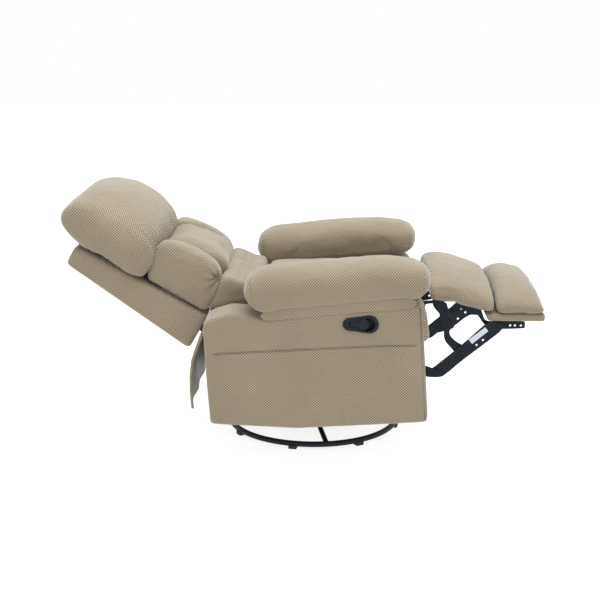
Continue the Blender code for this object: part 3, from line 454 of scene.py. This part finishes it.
def padded_body(name, rings, end_rings, cell, cap=0.0, fine=True):
    """A closed padded piece over a row of rings, with its cloth coordinates laid on.

    The cloth wraps round the rings, and the first and last end_rings are flat end panels. A
    piece with a cap is stuffed, and none of its points moves further than that; a fine one is
    divided once more.
    """
    rings = np.array(rings)
    rows, count = rings.shape[:2]
    steps = np.linalg.norm(rings - np.roll(rings, 1, axis=1), axis=2)
    steps[:, 0] = 0
    round_run = np.cumsum(steps, axis=1)
    round_run = np.concatenate([round_run, (round_run[:, -1] + np.linalg.norm(
        rings[:, 0] - rings[:, -1], axis=1))[:, None]], axis=1)
    middle = count // 2
    round_run -= round_run[:, middle][:, None]
    along_run = run_along(rings[:, middle])
    points = [*map(Vector, rings.reshape(-1, 3)), Vector(rings[0].mean(0)),
              Vector(rings[-1].mean(0))]
    faces, marks = [], []
    for row in range(rows - 1):
        for k in range(count):
            after = (k + 1) % count
            faces.append((row * count + k, row * count + after, (row + 1) * count + after,
                          (row + 1) * count + k))
            marks.append((row < end_rings or row >= rows - 1 - end_rings,
                          [(round_run[row, k], along_run[row]),
                           (round_run[row, k + 1], along_run[row]),
                           (round_run[row + 1, k + 1], along_run[row + 1]),
                           (round_run[row + 1, k], along_run[row + 1])]))
    for row, pole in ((0, rows * count), (rows - 1, rows * count + 1)):
        for k in range(count):
            faces.append((row * count + k, row * count + (k + 1) % count, pole))
            marks.append((True, [(round_run[row, k], along_run[row])] * 3))
    mesh = bpy.data.meshes.new(name)
    mesh.from_pydata(points, [], faces)
    shape = bmesh.new()
    shape.from_mesh(mesh)
    bmesh.ops.recalc_face_normals(shape, faces=shape.faces)
    shape.to_mesh(mesh)
    shape.free()
    obj = new_object(name, mesh)
    cells = obj.modifiers.new("cells", "REMESH")
    cells.mode = "VOXEL"
    cells.voxel_size = cell
    settle(obj)
    smoothed(obj.data, 4)
    if cap:
        swell(obj, cap)
    if fine:
        finer = obj.modifiers.new("finer", "SUBSURF")
        finer.levels = finer.render_levels = 1
        settle(obj)
    mesh = obj.data
    mesh.name = name

    finder = BVHTree.FromPolygons(points, faces)
    axis = Vector(rings[-1].mean(0) - rings[0].mean(0)).normalized()
    main = max(range(3), key=lambda k: abs(axis[k]))
    flat_axes = [k for k in range(3) if k != main]
    places = []
    for vert in mesh.vertices:
        spot, _, index, _ = finder.find_nearest(vert.co)
        weights = poly_3d_calc([points[k] for k in faces[index]], spot)
        places.append([sum(w * uv[k] for w, uv in zip(weights, marks[index][1]))
                       for k in (0, 1)])
    places = np.array(places)
    whole = float(np.median(round_run[:, -1] - round_run[:, 0]))
    lay = mesh.uv_layers.new(name="weave")
    values = np.zeros((len(mesh.loops), 2))
    for face in mesh.polygons:
        corners = list(face.loop_indices)
        if marks[finder.find_nearest(face.center)[2]][0]:
            for corner, k in zip(corners, face.vertices):
                values[corner] = [mesh.vertices[k].co[a] for a in flat_axes]
            continue
        spots = places[list(face.vertices)]
        if np.ptp(spots[:, 0]) > whole / 2:
            spots[spots[:, 0] < 0, 0] += whole
        values[corners] = spots
    lay.data.foreach_set("uv", values.ravel())
    # A point attribute for painted shade along sewn lines and creases, filled in by press.
    mesh.attributes.new("seam_shade", "FLOAT", "POINT")
    mesh.shade_smooth()
    return obj


def press(obj, distance, depth, width, gathers=0.0, spacing=0.02, reach=0.03, dark=1.0):
    """Press a sewn line into a piece: distance gives how far each point lies from the line,
    and how far along it. Gathers are small folds that run out from the line. Dark is how
    much painted shade is laid along the line, in the point attribute that darkens the cloth."""
    mesh = obj.data
    points = points_of(mesh)
    off, along = distance(points)
    line = np.exp(-(off / width) ** 2)
    push = -depth * line
    if gathers:
        folds = np.sin(2 * math.pi * along / spacing + 1.7 * np.sin(along / spacing * 1.3))
        push = push + gathers * folds * np.exp(-np.abs(off) / reach) * (1 - line)
    push_out(mesh, points, push)
    seam_shade = np.empty(len(points))
    mesh.attributes["seam_shade"].data.foreach_get("value", seam_shade)
    mark = dark * np.exp(-(off / (0.6 * width)) ** 2)
    mesh.attributes["seam_shade"].data.foreach_set("value", np.maximum(seam_shade, mark))


def near_line(path):
    """For press: the distance from a line through points, and the place along it."""
    path = np.array(path, float)

    def measure(points):
        best = np.full(len(points), 9.0)
        place = np.zeros(len(points))
        run = 0.0
        for start, end in zip(path, path[1:]):
            leg = end - start
            length = np.linalg.norm(leg)
            share = np.clip((points - start) @ leg / length ** 2, 0, 1)
            off = np.linalg.norm(points - start - share[:, None] * leg, axis=1)
            closer = off < best
            best[closer] = off[closer]
            place[closer] = run + share[closer] * length
            run += length
        return best, place
    return measure


def crumple(obj, height, size, seed):
    """Soft, uneven wrinkles all over a stuffed piece."""
    mesh = obj.data
    points = points_of(mesh)
    shift = Vector((seed * 7.3, seed * 3.1, seed * 5.7))
    push = np.array([noise.fractal(Vector(p) / size + shift, 1.0, 2.0, 3) for p in points])
    push_out(mesh, points, push * height)


def mirrored(obj, name):
    """The same piece for the other side of the chair."""
    shape = bmesh.new()
    shape.from_mesh(obj.data)
    for vert in shape.verts:
        vert.co.x = -vert.co.x
    bmesh.ops.reverse_faces(shape, faces=shape.faces)
    mesh = new_mesh(name, shape)
    mesh.shade_smooth()
    for material in obj.data.materials:
        mesh.materials.append(material)
    return new_object(name, mesh)


nubby_cloth = woven_cloth("nubby_cloth", CLOTH_DARK, CLOTH_LIGHT)
ARM_OUTLINE = [(-0.386, 0.140), (-0.221, 0.129), (0.021, 0.115), (0.267, 0.126),
               (0.293, 0.128), (0.303, 0.259), (0.312, 0.445), (0.304, 0.463),
               (0.277, 0.475), (0.230, 0.489), (0.192, 0.487), (0.117, 0.472),
               (-0.053, 0.497), (-0.175, 0.508), (-0.360, 0.524)]
side_line = outline(ARM_OUTLINE, 0.006, 0.006)
box_rings = across([(x, drawn_in(side_line, inset))
                    for x, inset in rounded_ends(0.2705, 0.4190, 0.012)])
arm_box = padded_body("arm_box_left", box_rings, 6, 0.0045, fine=False)
arm_box.data.materials.append(nubby_cloth)


def shape_arm_box(mesh):
    """Crown the outer side and swell the front between its corners."""
    points = points_of(mesh)
    x, y, z = points.T
    outer = np.clip((x - 0.395) / 0.020, 0, 1)
    lower = np.sin(np.clip((z - 0.130) / 0.265, 0, 1) * math.pi) ** 0.6
    length = np.sin(np.clip((y + 0.380) / 0.680, 0, 1) * math.pi) ** 0.5
    points[:, 0] += outer * 0.0035 * lower * length
    ahead = np.clip((-y - 0.345) / 0.025, 0, 1)
    bulge = np.clip((z - 0.400) / 0.022, 0, 1) * np.clip((0.516 - z) / 0.035, 0, 1)
    bulge = np.sqrt(bulge * (2 - bulge))
    width = np.clip((x - 0.276) / 0.016, 0, 1) * np.clip((0.412 - x) / 0.016, 0, 1)
    points[:, 1] -= ahead * 0.026 * bulge * np.sqrt(width * (2 - width))
    move_points(mesh, points)


shape_arm_box(arm_box.data)
# The tuck is pressed in and also painted dark along its line: painted shade in the groove.
TUCK = [(0.420, 0.278, 0.358), (0.421, 0.160, 0.366), (0.421, -0.060, 0.379),
        (0.420, -0.235, 0.388), (0.420, -0.345, 0.391)]
press(arm_box, near_line(TUCK), 0.0045, 0.0045, gathers=0.0005, spacing=0.016, dark=0.8)
# Under the arm pillow a shallow groove is pressed in and painted dark: painted shade where the
# pillow shades the box.
UNDER_PILLOW = [(0.419, 0.119, 0.478), (0.419, -0.053, 0.494), (0.419, -0.175, 0.506),
                (0.419, -0.345, 0.520)]
press(arm_box, near_line(UNDER_PILLOW), 0.002, 0.008, dark=0.7)
right_box = mirrored(arm_box, "arm_box_right")

PLACE_Z = 0.458
shape = bmesh.new()
for x in (-0.430, -0.3960):
    for centre, radius in ((-0.2035, 0.0278), (-0.141, 0.0193)):
        for k in range(32):
            turn = 2 * math.pi * k / 32
            shape.verts.new((x, centre + radius * math.cos(turn),
                             PLACE_Z + radius * math.sin(turn)))
bmesh.ops.convex_hull(shape, input=shape.verts)
bmesh.ops.delete(shape, geom=[v for v in shape.verts if not v.link_faces], context="VERTS")
pocket = new_object("pocket", new_mesh("pocket", shape))
cut = right_box.modifiers.new("pocket", "BOOLEAN")
cut.operation = "DIFFERENCE"
cut.solver = "EXACT"
cut.object = pocket
settle(right_box)
bpy.data.objects.remove(pocket)
for obj, name in ((arm_box, "left"), (right_box, "right")):
    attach(obj, "seat")
    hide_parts(f"side_panel_{name}")

CORNER = [(-0.3605, 0.512), (-0.3645, 0.470), (-0.3700, 0.400), (-0.3790, 0.270),
          (-0.3855, 0.170), (-0.3830, 0.146)]
BAND_RINGS = 60
BAND_HALF = 0.019
BAND_SIDES = 40
BAND_LOW = [(0.130, 0.463), (0.020, 0.475), (-0.122, 0.490), (-0.231, 0.499), (-0.345, 0.507)]
for name, side in (("right", -1), ("left", 1)):
    for place, x in (("outer", 0.4165), ("inner", 0.2735)):
        edge = swept(f"front_piping_{place}_{name}", [(side * x, y, z) for y, z in CORNER],
                     0.0026, 0.0026, nubby_cloth, sides=10, up=(1, 0, 0))
        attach(edge, "seat")
    low = np.array(BAND_LOW)
    rings = []
    for share in np.linspace(0, 1, BAND_RINGS):
        y = 0.132 - 0.480 * share
        bottom = np.interp(-y, -low[:, 0], low[:, 1])
        end = max(0.0, 1 - min(share, 1 - share) * BAND_RINGS * 0.25)
        half = BAND_HALF * math.sqrt(max(1 - end ** 2, 0.05))
        turn = np.linspace(-math.pi / 2, 1.5 * math.pi, BAND_SIDES, endpoint=False)
        round_x = np.sign(np.cos(turn)) * np.abs(np.cos(turn)) ** 0.5
        round_z = np.sign(np.sin(turn)) * np.abs(np.sin(turn)) ** 0.5
        rings.append(np.c_[side * (0.4198 + 0.0022 * round_x), np.full(BAND_SIDES, y),
                           bottom + BAND_HALF + half * round_z])
    band = padded_body(f"pillow_band_{name}", rings, 1, 0.0022, fine=False)
    band.data.materials.append(nubby_cloth)
    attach(band, "seat")

# ---------------------------------------------------------------- arm pillows
# A fat loaf of fibre in a sewn cover on each arm: one long panel wraps over it from side to
# side, and a rounded panel closes each end with a gathered seam.
PILLOW_X = 0.3535
TOP_LINE = [(0.190, 0.548), (0.174, 0.598), (0.140, 0.618), (0.115, 0.626), (0.011, 0.636),
            (-0.134, 0.651), (-0.258, 0.657), (-0.340, 0.650), (-0.378, 0.632),
            (-0.395, 0.600)]
LOW_LINE = [(0.190, 0.545), (0.170, 0.515), (0.145, 0.497), (0.119, 0.490), (-0.053, 0.505),
            (-0.175, 0.517), (-0.337, 0.535), (-0.372, 0.544), (-0.388, 0.566),
            (-0.395, 0.590)]


def squared_oval(count, upper, lower):
    """Unit oval from its underside round: powers above 2 square it, below 2 sharpen it."""
    turn = np.linspace(-math.pi / 2, 1.5 * math.pi, count, endpoint=False)
    power = np.where(np.sin(turn) >= 0, 2 / upper, 2 / lower)
    return np.stack([np.sign(np.cos(turn)) * np.abs(np.cos(turn)) ** power,
                     np.sign(np.sin(turn)) * np.abs(np.sin(turn)) ** power], axis=1)


def along_chair(places, top, low, half, middle_x, section, waist=0.5, ease=0.05, least=0.3):
    """Rings along the chair between a top line and a low line, narrowed at both ends."""
    top, low = (np.array(sorted(line)) for line in (top, low))
    rings = []
    for y in places:
        high = np.interp(y, top[:, 0], top[:, 1])
        bottom = np.interp(y, low[:, 0], low[:, 1])
        end = np.clip(min(y - min(places), max(places) - y) / ease, 0, 1)
        wide = half * (least + (1 - least) * (1 - (1 - end) ** 2.2) ** (1 / 2.2))
        level = bottom + (high - bottom) * waist
        z = np.where(section[:, 1] >= 0, level + section[:, 1] * (high - level),
                     level + section[:, 1] * (level - bottom))
        rings.append(np.c_[middle_x + wide * section[:, 0], np.full(len(section), y), z])
    return rings


loaf = squared_oval(72, 2.7, 5.0)
pillow_rings = along_chair(np.linspace(-0.393, 0.188, 80), TOP_LINE, LOW_LINE, 0.086,
                           PILLOW_X, loaf, waist=0.36)
pillow = padded_body("arm_pillow_left", pillow_rings, 3, 0.006, cap=0.010)
crumple(pillow, 0.0022, 0.075, 1)


def end_seam(y, lean, middle_z):
    """A sewn line that circles an arm pillow near its end, bowed along with the end."""
    def measure(points):
        dx, dz = points[:, 0] - PILLOW_X, points[:, 2] - middle_z
        bow = lean * (dx ** 2 + dz ** 2) / 0.09 ** 2
        return points[:, 1] - y + bow, 0.08 * np.arctan2(dz, dx)
    return measure


# Both end seams are also lightly painted dark along their lines: painted shade in the sewn grooves.
press(pillow, end_seam(-0.382, -0.020, 0.595), 0.0018, 0.0035, gathers=0.0006, spacing=0.017,
      reach=0.014, dark=0.2)
press(pillow, end_seam(0.172, 0.016, 0.555), 0.0018, 0.0035, gathers=0.0006, spacing=0.016,
      reach=0.014, dark=0.2)
pillow.data.materials.append(nubby_cloth)
for obj, name in ((pillow, "left"), (mirrored(pillow, "arm_pillow_right"), "right")):
    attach(obj, "seat")
    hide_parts(f"arm_pad_{name}")

# ---------------------------------------------------------------- seat frame
# Two hardwood rails and a plywood deck screwed between the arm boxes, and two round steel
# tubes that tie the mechanism's plates together.
birch_wood, tree, shader = new_material("birch_wood", (0.52, 0.37, 0.22), 0.55)
where = add_node(tree, "TexCoord").outputs["Object"]
stretched = add_node(tree, "Mapping", {"Vector": where, "Scale": (2.0, 30.0, 30.0)})
grain = add_node(tree, "TexNoise", {"Vector": stretched.outputs[0], "Scale": 6.0,
                                    "Detail": 6.0, "Distortion": 1.2})
tone = add_node(tree, "Mix", {0: grain.outputs[0], 6: (0.36, 0.23, 0.12, 1),
                              7: (0.66, 0.50, 0.32, 1)}, data_type="RGBA")
tree.links.new(tone.outputs[2], shader.inputs["Base Color"])
fibres = add_node(tree, "Bump", {"Height": grain.outputs[0], "Strength": 0.25,
                                 "Distance": 0.0008})
tree.links.new(fibres.outputs[0], shader.inputs["Normal"])
keep_cad(["front_rail", "rear_rail", "seat_deck", "bridge_board"], birch_wood, 0.0012)
keep_cad(["mechanism_tube_front", "mechanism_tube_rear"], slate_coat, 0.0004)

# ---------------------------------------------------------------- seat cushion
# A foam block with a wadded, boxed cover, squeezed between the arm pillows.
boxed = squared_oval(96, 3.2, 7.0)
cushion_rings = along_chair(
    np.linspace(-0.388, 0.136, 60), [(-0.388, 0.524), (-0.340, 0.533), (-0.100, 0.535),
                                     (0.136, 0.530)],
    [(-0.388, 0.498), (0.136, 0.498)], 0.248, 0.0, boxed, waist=0.45, ease=0.04, least=0.88)
cushion = padded_body("seat_cushion_cover", cushion_rings, 3, 0.007, cap=0.006)
crumple(cushion, 0.0020, 0.09, 2)
cushion.data.materials.append(nubby_cloth)
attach(cushion, "seat")
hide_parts("seat_cushion")

# ---------------------------------------------------------------- release handle
# A moulded surround let into the right arm, and the keyhole-shaped paddle that pulls out of
# it; both are slate ABS with a fine spark texture.
slate_plastic, tree, shader = new_material("slate_plastic", (0.013, 0.018, 0.024), 0.42,
                                           specular=0.12)
where = add_node(tree, "TexCoord").outputs["Object"]
spark = add_node(tree, "TexVoronoi", {"Vector": where, "Scale": 1400.0})
bump = add_node(tree, "Bump", {"Height": spark.outputs[0], "Strength": 0.15,
                               "Distance": 0.0004})
tree.links.new(bump.outputs[0], shader.inputs["Normal"])
worn = add_node(tree, "TexNoise", {"Vector": where, "Scale": 45.0, "Detail": 4.0})
gloss = add_node(tree, "MapRange", {"Value": worn.outputs[0], "To Min": 0.32, "To Max": 0.52})
tree.links.new(gloss.outputs[0], shader.inputs["Roughness"])
tone = add_node(tree, "Mix", {0: worn.outputs[0], 6: (0.010, 0.014, 0.019, 1),
                              7: (0.016, 0.022, 0.029, 1)}, data_type="RGBA")
tree.links.new(tone.outputs[2], shader.inputs["Base Color"])
keep_cad(["handle_bezel"], slate_plastic, 0.0016)
keep_cad(["release_handle"], slate_plastic, 0.0010)

# ---------------------------------------------------------------- recliner mechanism
# Stamped steel plates and links, riveted together and powder-coated; only the rivets' flat
# heads and the punched holes break their faces. A plain paper label is stuck on the right
# side's long link.
keep_cad([f"{name}_{side}" for side in ("left", "right") for name in
          ("mechanism_plate", "front_ottoman_link", "rear_ottoman_link", "long_link",
           "upper_ottoman_link", "ottoman_bracket", "back_lever")] + ["torque_tube"],
         slate_coat, 0.0004)

paper, tree, shader = new_material("label_paper", (0.56, 0.62, 0.70), 0.5, specular=0.3)
where = add_node(tree, "TexCoord").outputs["Object"]
fibre = add_node(tree, "TexNoise", {"Vector": where, "Scale": 300.0, "Detail": 3.0})
tone = add_node(tree, "Mix", {0: fibre.outputs[0], 6: (0.52, 0.58, 0.66, 1),
                              7: (0.60, 0.66, 0.74, 1)}, data_type="RGBA")
tree.links.new(tone.outputs[2], shader.inputs["Base Color"])
LABEL = [(-0.5301, 0.3609), (-0.5420, 0.3464), (-0.5923, 0.3896), (-0.5822, 0.4025)]
shape = bmesh.new()
front_face = [shape.verts.new((-0.2360, y, z)) for y, z in LABEL]
rear_face = [shape.verts.new((-0.2356, y, z)) for y, z in LABEL]
shape.faces.new(front_face)
shape.faces.new(rear_face[::-1])
for k in range(4):
    shape.faces.new((front_face[k], rear_face[k], rear_face[(k + 1) % 4],
                     front_face[(k + 1) % 4]))
bmesh.ops.recalc_face_normals(shape, faces=shape.faces)
label = new_object("blank_label", new_mesh("blank_label", shape), paper)
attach(label, "long_links")

# ---------------------------------------------------------------- footrest pads
# Two wadded pads over boards: the bridge pad hangs from the seat's front edge, and the
# ottoman pad wraps the end board; a deep sewn valley parts them.
dome = squared_oval(96, 2.1, 8.0)
bridge_rings = along_chair(
    np.linspace(-0.611, -0.398, 36),
    [(-0.611, 0.516), (-0.597, 0.534), (-0.557, 0.553), (-0.483, 0.575), (-0.432, 0.578),
     (-0.398, 0.574)],
    [(-0.611, 0.452), (-0.590, 0.455), (-0.530, 0.470), (-0.470, 0.489), (-0.398, 0.491)],
    0.254, 0.0, dome, waist=0.16, ease=0.02, least=0.96)
bridge = padded_body("bridge_pad_cover", bridge_rings, 2, 0.006, cap=0.007)
ottoman_rings = along_chair(
    np.linspace(-0.770, -0.615, 30),
    [(-0.770, 0.474), (-0.757, 0.504), (-0.732, 0.525), (-0.683, 0.542), (-0.640, 0.537),
     (-0.615, 0.516)],
    [(-0.770, 0.452), (-0.711, 0.450), (-0.615, 0.450)], 0.254, 0.0, dome, waist=0.18,
    ease=0.025, least=0.94)
ottoman = padded_body("ottoman_pad_cover", ottoman_rings, 2, 0.006, cap=0.007)
for obj, body, seed in ((bridge, "bridge", 3), (ottoman, "ottoman", 4)):
    crumple(obj, 0.0022, 0.06, seed)
    obj.data.materials.append(nubby_cloth)
    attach(obj, body)
    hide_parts(f"{body}_pad")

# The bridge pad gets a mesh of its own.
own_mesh(bridge)

board_rings = across([(x, drawn_in(outline(
    [(-0.592, 0.4225), (-0.580, 0.4480), (-0.7735, 0.4480), (-0.7725, 0.4225)], 0.004, 0.003),
    inset)) for x, inset in rounded_ends(-0.240, 0.240, 0.006, steps=4)])
board = padded_body("ottoman_board_cover", board_rings, 4, 0.004, fine=False)
board.data.materials.append(nubby_cloth)
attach(board, "ottoman")
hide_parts("ottoman_board")

# ---------------------------------------------------------------- back frame
# A tapered wooden box under thin foam, covered in the same cloth; its levers slide it on to
# the mechanism.
LEAN = math.radians(30)
PIVOT_Y, PIVOT_Z = 0.245, 0.400


def on_back(up, out):
    """A side point given along the back from its pivot, and out towards the sitter."""
    return (PIVOT_Y + up * math.cos(LEAN) - out * math.sin(LEAN),
            PIVOT_Z + up * math.sin(LEAN) + out * math.cos(LEAN))


frame_line = outline([on_back(0.076, -0.002), on_back(0.076, -0.129), on_back(0.554, -0.081),
                      on_back(0.554, -0.013)], 0.006, 0.008)
back_rings = across([(x, drawn_in(frame_line, inset))
                     for x, inset in rounded_ends(-0.257, 0.257, 0.012)])
back_frame = padded_body("back_frame_cover", back_rings, 6, 0.006, fine=False)
back_frame.data.materials.append(nubby_cloth)
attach(back_frame, "back")
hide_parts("back_frame")

# ---------------------------------------------------------------- back pillows
# Fibre-filled pillows in three parts: a lumbar pad, a bolster on each side with a puckered
# lower corner, and a head pillow over them whose cover is gathered along its lower edge.
lumbar_line = outline([on_back(*spot) for spot in (
    (0.092, 0.006), (0.300, 0.004), (0.322, 0.060), (0.318, 0.118), (0.290, 0.148),
    (0.220, 0.164), (0.140, 0.172), (0.106, 0.166), (0.088, 0.140), (0.084, 0.060))],
    0.006, 0.010)
lumbar_rings = across([(x, drawn_in(lumbar_line, inset))
                       for x, inset in rounded_ends(-0.152, 0.152, 0.024)])
lumbar = padded_body("lumbar_cover", lumbar_rings, 3, 0.006, cap=0.007)
crumple(lumbar, 0.0022, 0.08, 5)

wing_line = outline([on_back(*spot) for spot in (
    (0.094, 0.002), (0.304, 0.002), (0.330, 0.060), (0.332, 0.104), (0.322, 0.136),
    (0.291, 0.150), (0.250, 0.160), (0.190, 0.165), (0.138, 0.160), (0.112, 0.144),
    (0.092, 0.112), (0.080, 0.070), (0.082, 0.030))], 0.006, 0.008)
wing_rings = across([(x, drawn_in(wing_line, inset))
                     for x, inset in rounded_ends(0.162, 0.255, 0.022)])
wing = padded_body("wing_left", wing_rings, 4, 0.006, cap=0.009)
crumple(wing, 0.0025, 0.07, 6)

END_LINE = ((0.308, 0.000), (0.345, -0.012), (0.456, -0.010), (0.540, -0.008), (0.600, 0.010),
            (0.636, 0.028), (0.646, 0.060), (0.622, 0.104), (0.5355, 0.118), (0.449, 0.114),
            (0.346, 0.100), (0.316, 0.070), (0.306, 0.030))
CROWN_LINE = ((0.316, 0.006), (0.345, 0.006), (0.456, 0.006), (0.540, 0.004), (0.600, 0.012),
              (0.636, 0.032), (0.648, 0.072), (0.624, 0.128), (0.578, 0.166), (0.508, 0.197),
              (0.424, 0.198), (0.352, 0.174), (0.318, 0.132))
HEAD_SIDES = 120
head_rings = []
for x, inset in rounded_ends(-0.282, 0.282, 0.030, spacing=0.008):
    crown = (1 - abs(x / 0.283) ** 2.8) ** 0.8
    line = [on_back(*(np.array(end) * (1 - crown) + np.array(top) * crown))
            for end, top in zip(END_LINE, CROWN_LINE)]
    loop = outline(line, 0.006, 0.009)
    steps = np.linspace(0, len(loop), HEAD_SIDES, endpoint=False)
    loop = np.stack([np.interp(steps, np.arange(len(loop) + 1), np.r_[loop[:, k], loop[0, k]])
                     for k in (0, 1)], axis=1)
    head_rings.append(np.c_[np.full(HEAD_SIDES, x), drawn_in(loop, inset)])
head = padded_body("head_pillow_cover", head_rings, 4, 0.006, cap=0.010)
crumple(head, 0.0022, 0.09, 7)


def back_coordinates(points):
    """How far along the back, and how far out from it, each point lies."""
    y, z = points[:, 1] - PIVOT_Y, points[:, 2] - PIVOT_Z
    return (y * math.cos(LEAN) + z * math.sin(LEAN), -y * math.sin(LEAN) + z * math.cos(LEAN))


def pleat_line(points):
    """For press: the head pillow's gathered lower edge."""
    up, out = back_coordinates(points)
    off = np.hypot(up - 0.320, np.clip(out - 0.112, -1, 1))
    return np.where(out > 0.03, off, 1.0), points[:, 0]


# The gathered lower edge is also painted dark along its line: painted shade in the gathers.
press(head, pleat_line, 0.0, 0.006, gathers=0.0050, spacing=0.016, reach=0.040, dark=0.45)


def pucker(obj, spot, radius, depth, rays):
    """Draw a cover in round one point, with short folds running out from it."""
    mesh = obj.data
    points = points_of(mesh)
    offset = points - np.array(spot)
    away = np.linalg.norm(offset, axis=1)
    turn = np.arctan2(offset[:, 2], offset[:, 1])
    push = -depth * np.exp(-(away / (0.35 * radius)) ** 2)
    push += 0.35 * depth * np.sin(rays * turn) * np.exp(-(away / radius) ** 2) \
        * np.clip(away / (0.2 * radius), 0, 1)
    push_out(mesh, points, push)


pucker(wing, (0.256, *on_back(0.104, 0.126)), 0.045, 0.011, 9)
for obj, node in ((lumbar, "lumbar_pad"), (wing, "wing_bolster_left"),
                  (head, "head_pillow")):
    obj.data.materials.append(nubby_cloth)
    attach(obj, "back")
    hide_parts(node)
other_wing = mirrored(wing, "wing_right")
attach(other_wing, "back")
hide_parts("wing_bolster_right")

# A wadded roll fills the full width below them, down to the seat cushion. Its front is sewn
# to the seat and its rear to the back.
tuck_line = outline([(0.143, 0.506), (0.144, 0.528), (0.152, 0.539), (0.180, 0.541),
                     on_back(0.060, 0.152), on_back(0.098, 0.140), on_back(0.100, 0.060),
                     on_back(0.096, 0.012), (0.270, 0.457), (0.228, 0.470), (0.178, 0.486),
                     (0.155, 0.490)], 0.006, 0.006)
tuck_in = padded_body("tuck_in_cloth", across([(x, drawn_in(tuck_line, inset)) for x, inset in
                                               rounded_ends(-0.250, 0.250, 0.014)]),
                      3, 0.006, fine=False)
crumple(tuck_in, 0.0030, 0.05, 8)
# Two folds are pressed across the roll and also painted dark along their lines: painted shade in
# the folds.
for fold_y, fold_z in (on_back(0.052, 0.156), on_back(0.022, 0.146)):
    press(tuck_in, near_line([(-0.26, fold_y, fold_z), (0.26, fold_y, fold_z)]), 0.004, 0.007,
          gathers=0.001, spacing=0.03, dark=0.4)
tuck_in.data.materials.append(nubby_cloth)
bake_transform(tuck_in)

# ---------------------------------------------------------------- rear skirt
# A loose flap of the same cloth, backed with a smooth grey-blue lining and hemmed all round.
# It hangs behind the seat from the back's lower edge and turns forward at both sides, further
# on the left.
SKIRT_LINE = [(0.321, 0.412), (0.334, 0.385), (0.352, 0.340), (0.370, 0.290), (0.377, 0.237),
              (0.378, 0.180), (0.374, 0.127)]
lining, tree, shader = new_material("slate_lining", (0.10, 0.12, 0.16), 0.5, specular=0.4)
where = add_node(tree, "TexCoord").outputs["Object"]
fine_weave = add_node(tree, "TexNoise", {"Vector": where, "Scale": 900.0})
bump = add_node(tree, "Bump", {"Height": fine_weave.outputs[0], "Strength": 0.2,
                               "Distance": 0.0004})
tree.links.new(bump.outputs[0], shader.inputs["Normal"])
# Painted shade: the lining is grey-blue near the hem and painted nearly black higher up, where it
# sits in the shade under the seat.
height = add_node(tree, "SeparateXYZ", {"Vector": where})
upward_shade = add_node(tree, "MapRange", {"Value": height.outputs["Z"], "From Min": 0.13,
                                   "From Max": 0.25})
tone = add_node(tree, "Mix", {0: upward_shade.outputs[0], 6: (0.24, 0.26, 0.31, 1),
                              7: (0.025, 0.032, 0.045, 1)}, data_type="RGBA")
tree.links.new(tone.outputs[2], shader.inputs["Base Color"])

SKIRT_HALF = 0.262
RIGHT_RETURN = 0.010
LEFT_RETURN = 0.052
BEND = 0.008
BEND_RADIUS = BEND * 4 / math.pi
SKIRT_THICKNESS = 0.0016
SIDE_HEM, TOP_HEM, LOWER_HEM = 2, 12, 2
skirt_path = np.array(SKIRT_LINE)
run = run_along(skirt_path)
rows, columns = 44, 96


def skirt_run(column):
    """How far round from its middle a column of the skirt lies; the left side runs further."""
    right, left = SKIRT_HALF + RIGHT_RETURN, SKIRT_HALF + LEFT_RETURN
    return (right + left) * column / columns - right


shape = bmesh.new()
lay = shape.loops.layers.uv.new("weave")
sides = []
for face_off in (0, 1):
    grid = []
    for row in range(rows + 1):
        down_run = run[-1] * row / rows
        y, z = (np.interp(down_run, run, skirt_path[:, k]) for k in (0, 1))
        line = []
        for column in range(columns + 1):
            along = skirt_run(column)
            bent = np.clip((abs(along) - SKIRT_HALF + BEND) / (2 * BEND), 0, 1)
            turn = bent * math.pi / 2
            sideways = min(abs(along), SKIRT_HALF - BEND) + BEND_RADIUS * math.sin(turn)
            x = math.copysign(min(sideways, SKIRT_HALF), along)
            side_run = max(0.0, abs(along) - SKIRT_HALF - BEND)
            forward = BEND_RADIUS * (1 - math.cos(turn)) + side_run
            lift = 0.016 * (side_run / LEFT_RETURN) ** 2 * (row / rows) ** 3
            wave = 0.003 * math.sin(along * 31) * row / rows
            thick = face_off * SKIRT_THICKNESS
            line.append(shape.verts.new((x - math.copysign(thick * math.sin(turn), along),
                                         y - forward + wave * (1 - bent)
                                         - thick * math.cos(turn), z + lift)))
        grid.append(line)
    sides.append(grid)
for index, grid in enumerate(sides):
    for row in range(rows):
        for column in range(columns):
            corners = (grid[row][column], grid[row][column + 1], grid[row + 1][column + 1],
                       grid[row + 1][column])
            face = shape.faces.new(corners if index else corners[::-1])
            hemmed = (min(column, columns - 1 - column) < SIDE_HEM or row < TOP_HEM
                      or row >= rows - LOWER_HEM)
            face.material_index = 1 if index and not hemmed else 0
            for loop in face.loops:
                loop[lay].uv = (loop.vert.co.x, loop.vert.co.z)
rim = [(0, c) for c in range(columns)] + [(r, columns) for r in range(rows)] \
    + [(rows, c) for c in range(columns, 0, -1)] + [(r, 0) for r in range(rows, 0, -1)]
for (r, c), (r2, c2) in zip(rim, rim[1:] + rim[:1]):
    face = shape.faces.new((sides[0][r][c], sides[0][r2][c2], sides[1][r2][c2], sides[1][r][c]))
bmesh.ops.recalc_face_normals(shape, faces=shape.faces)
mesh = new_mesh("rear_skirt_cloth", shape)
mesh.shade_smooth()
skirt = new_object("rear_skirt_cloth", mesh, nubby_cloth)
mesh.materials.append(lining)
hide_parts("rear_skirt")
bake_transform(skirt)
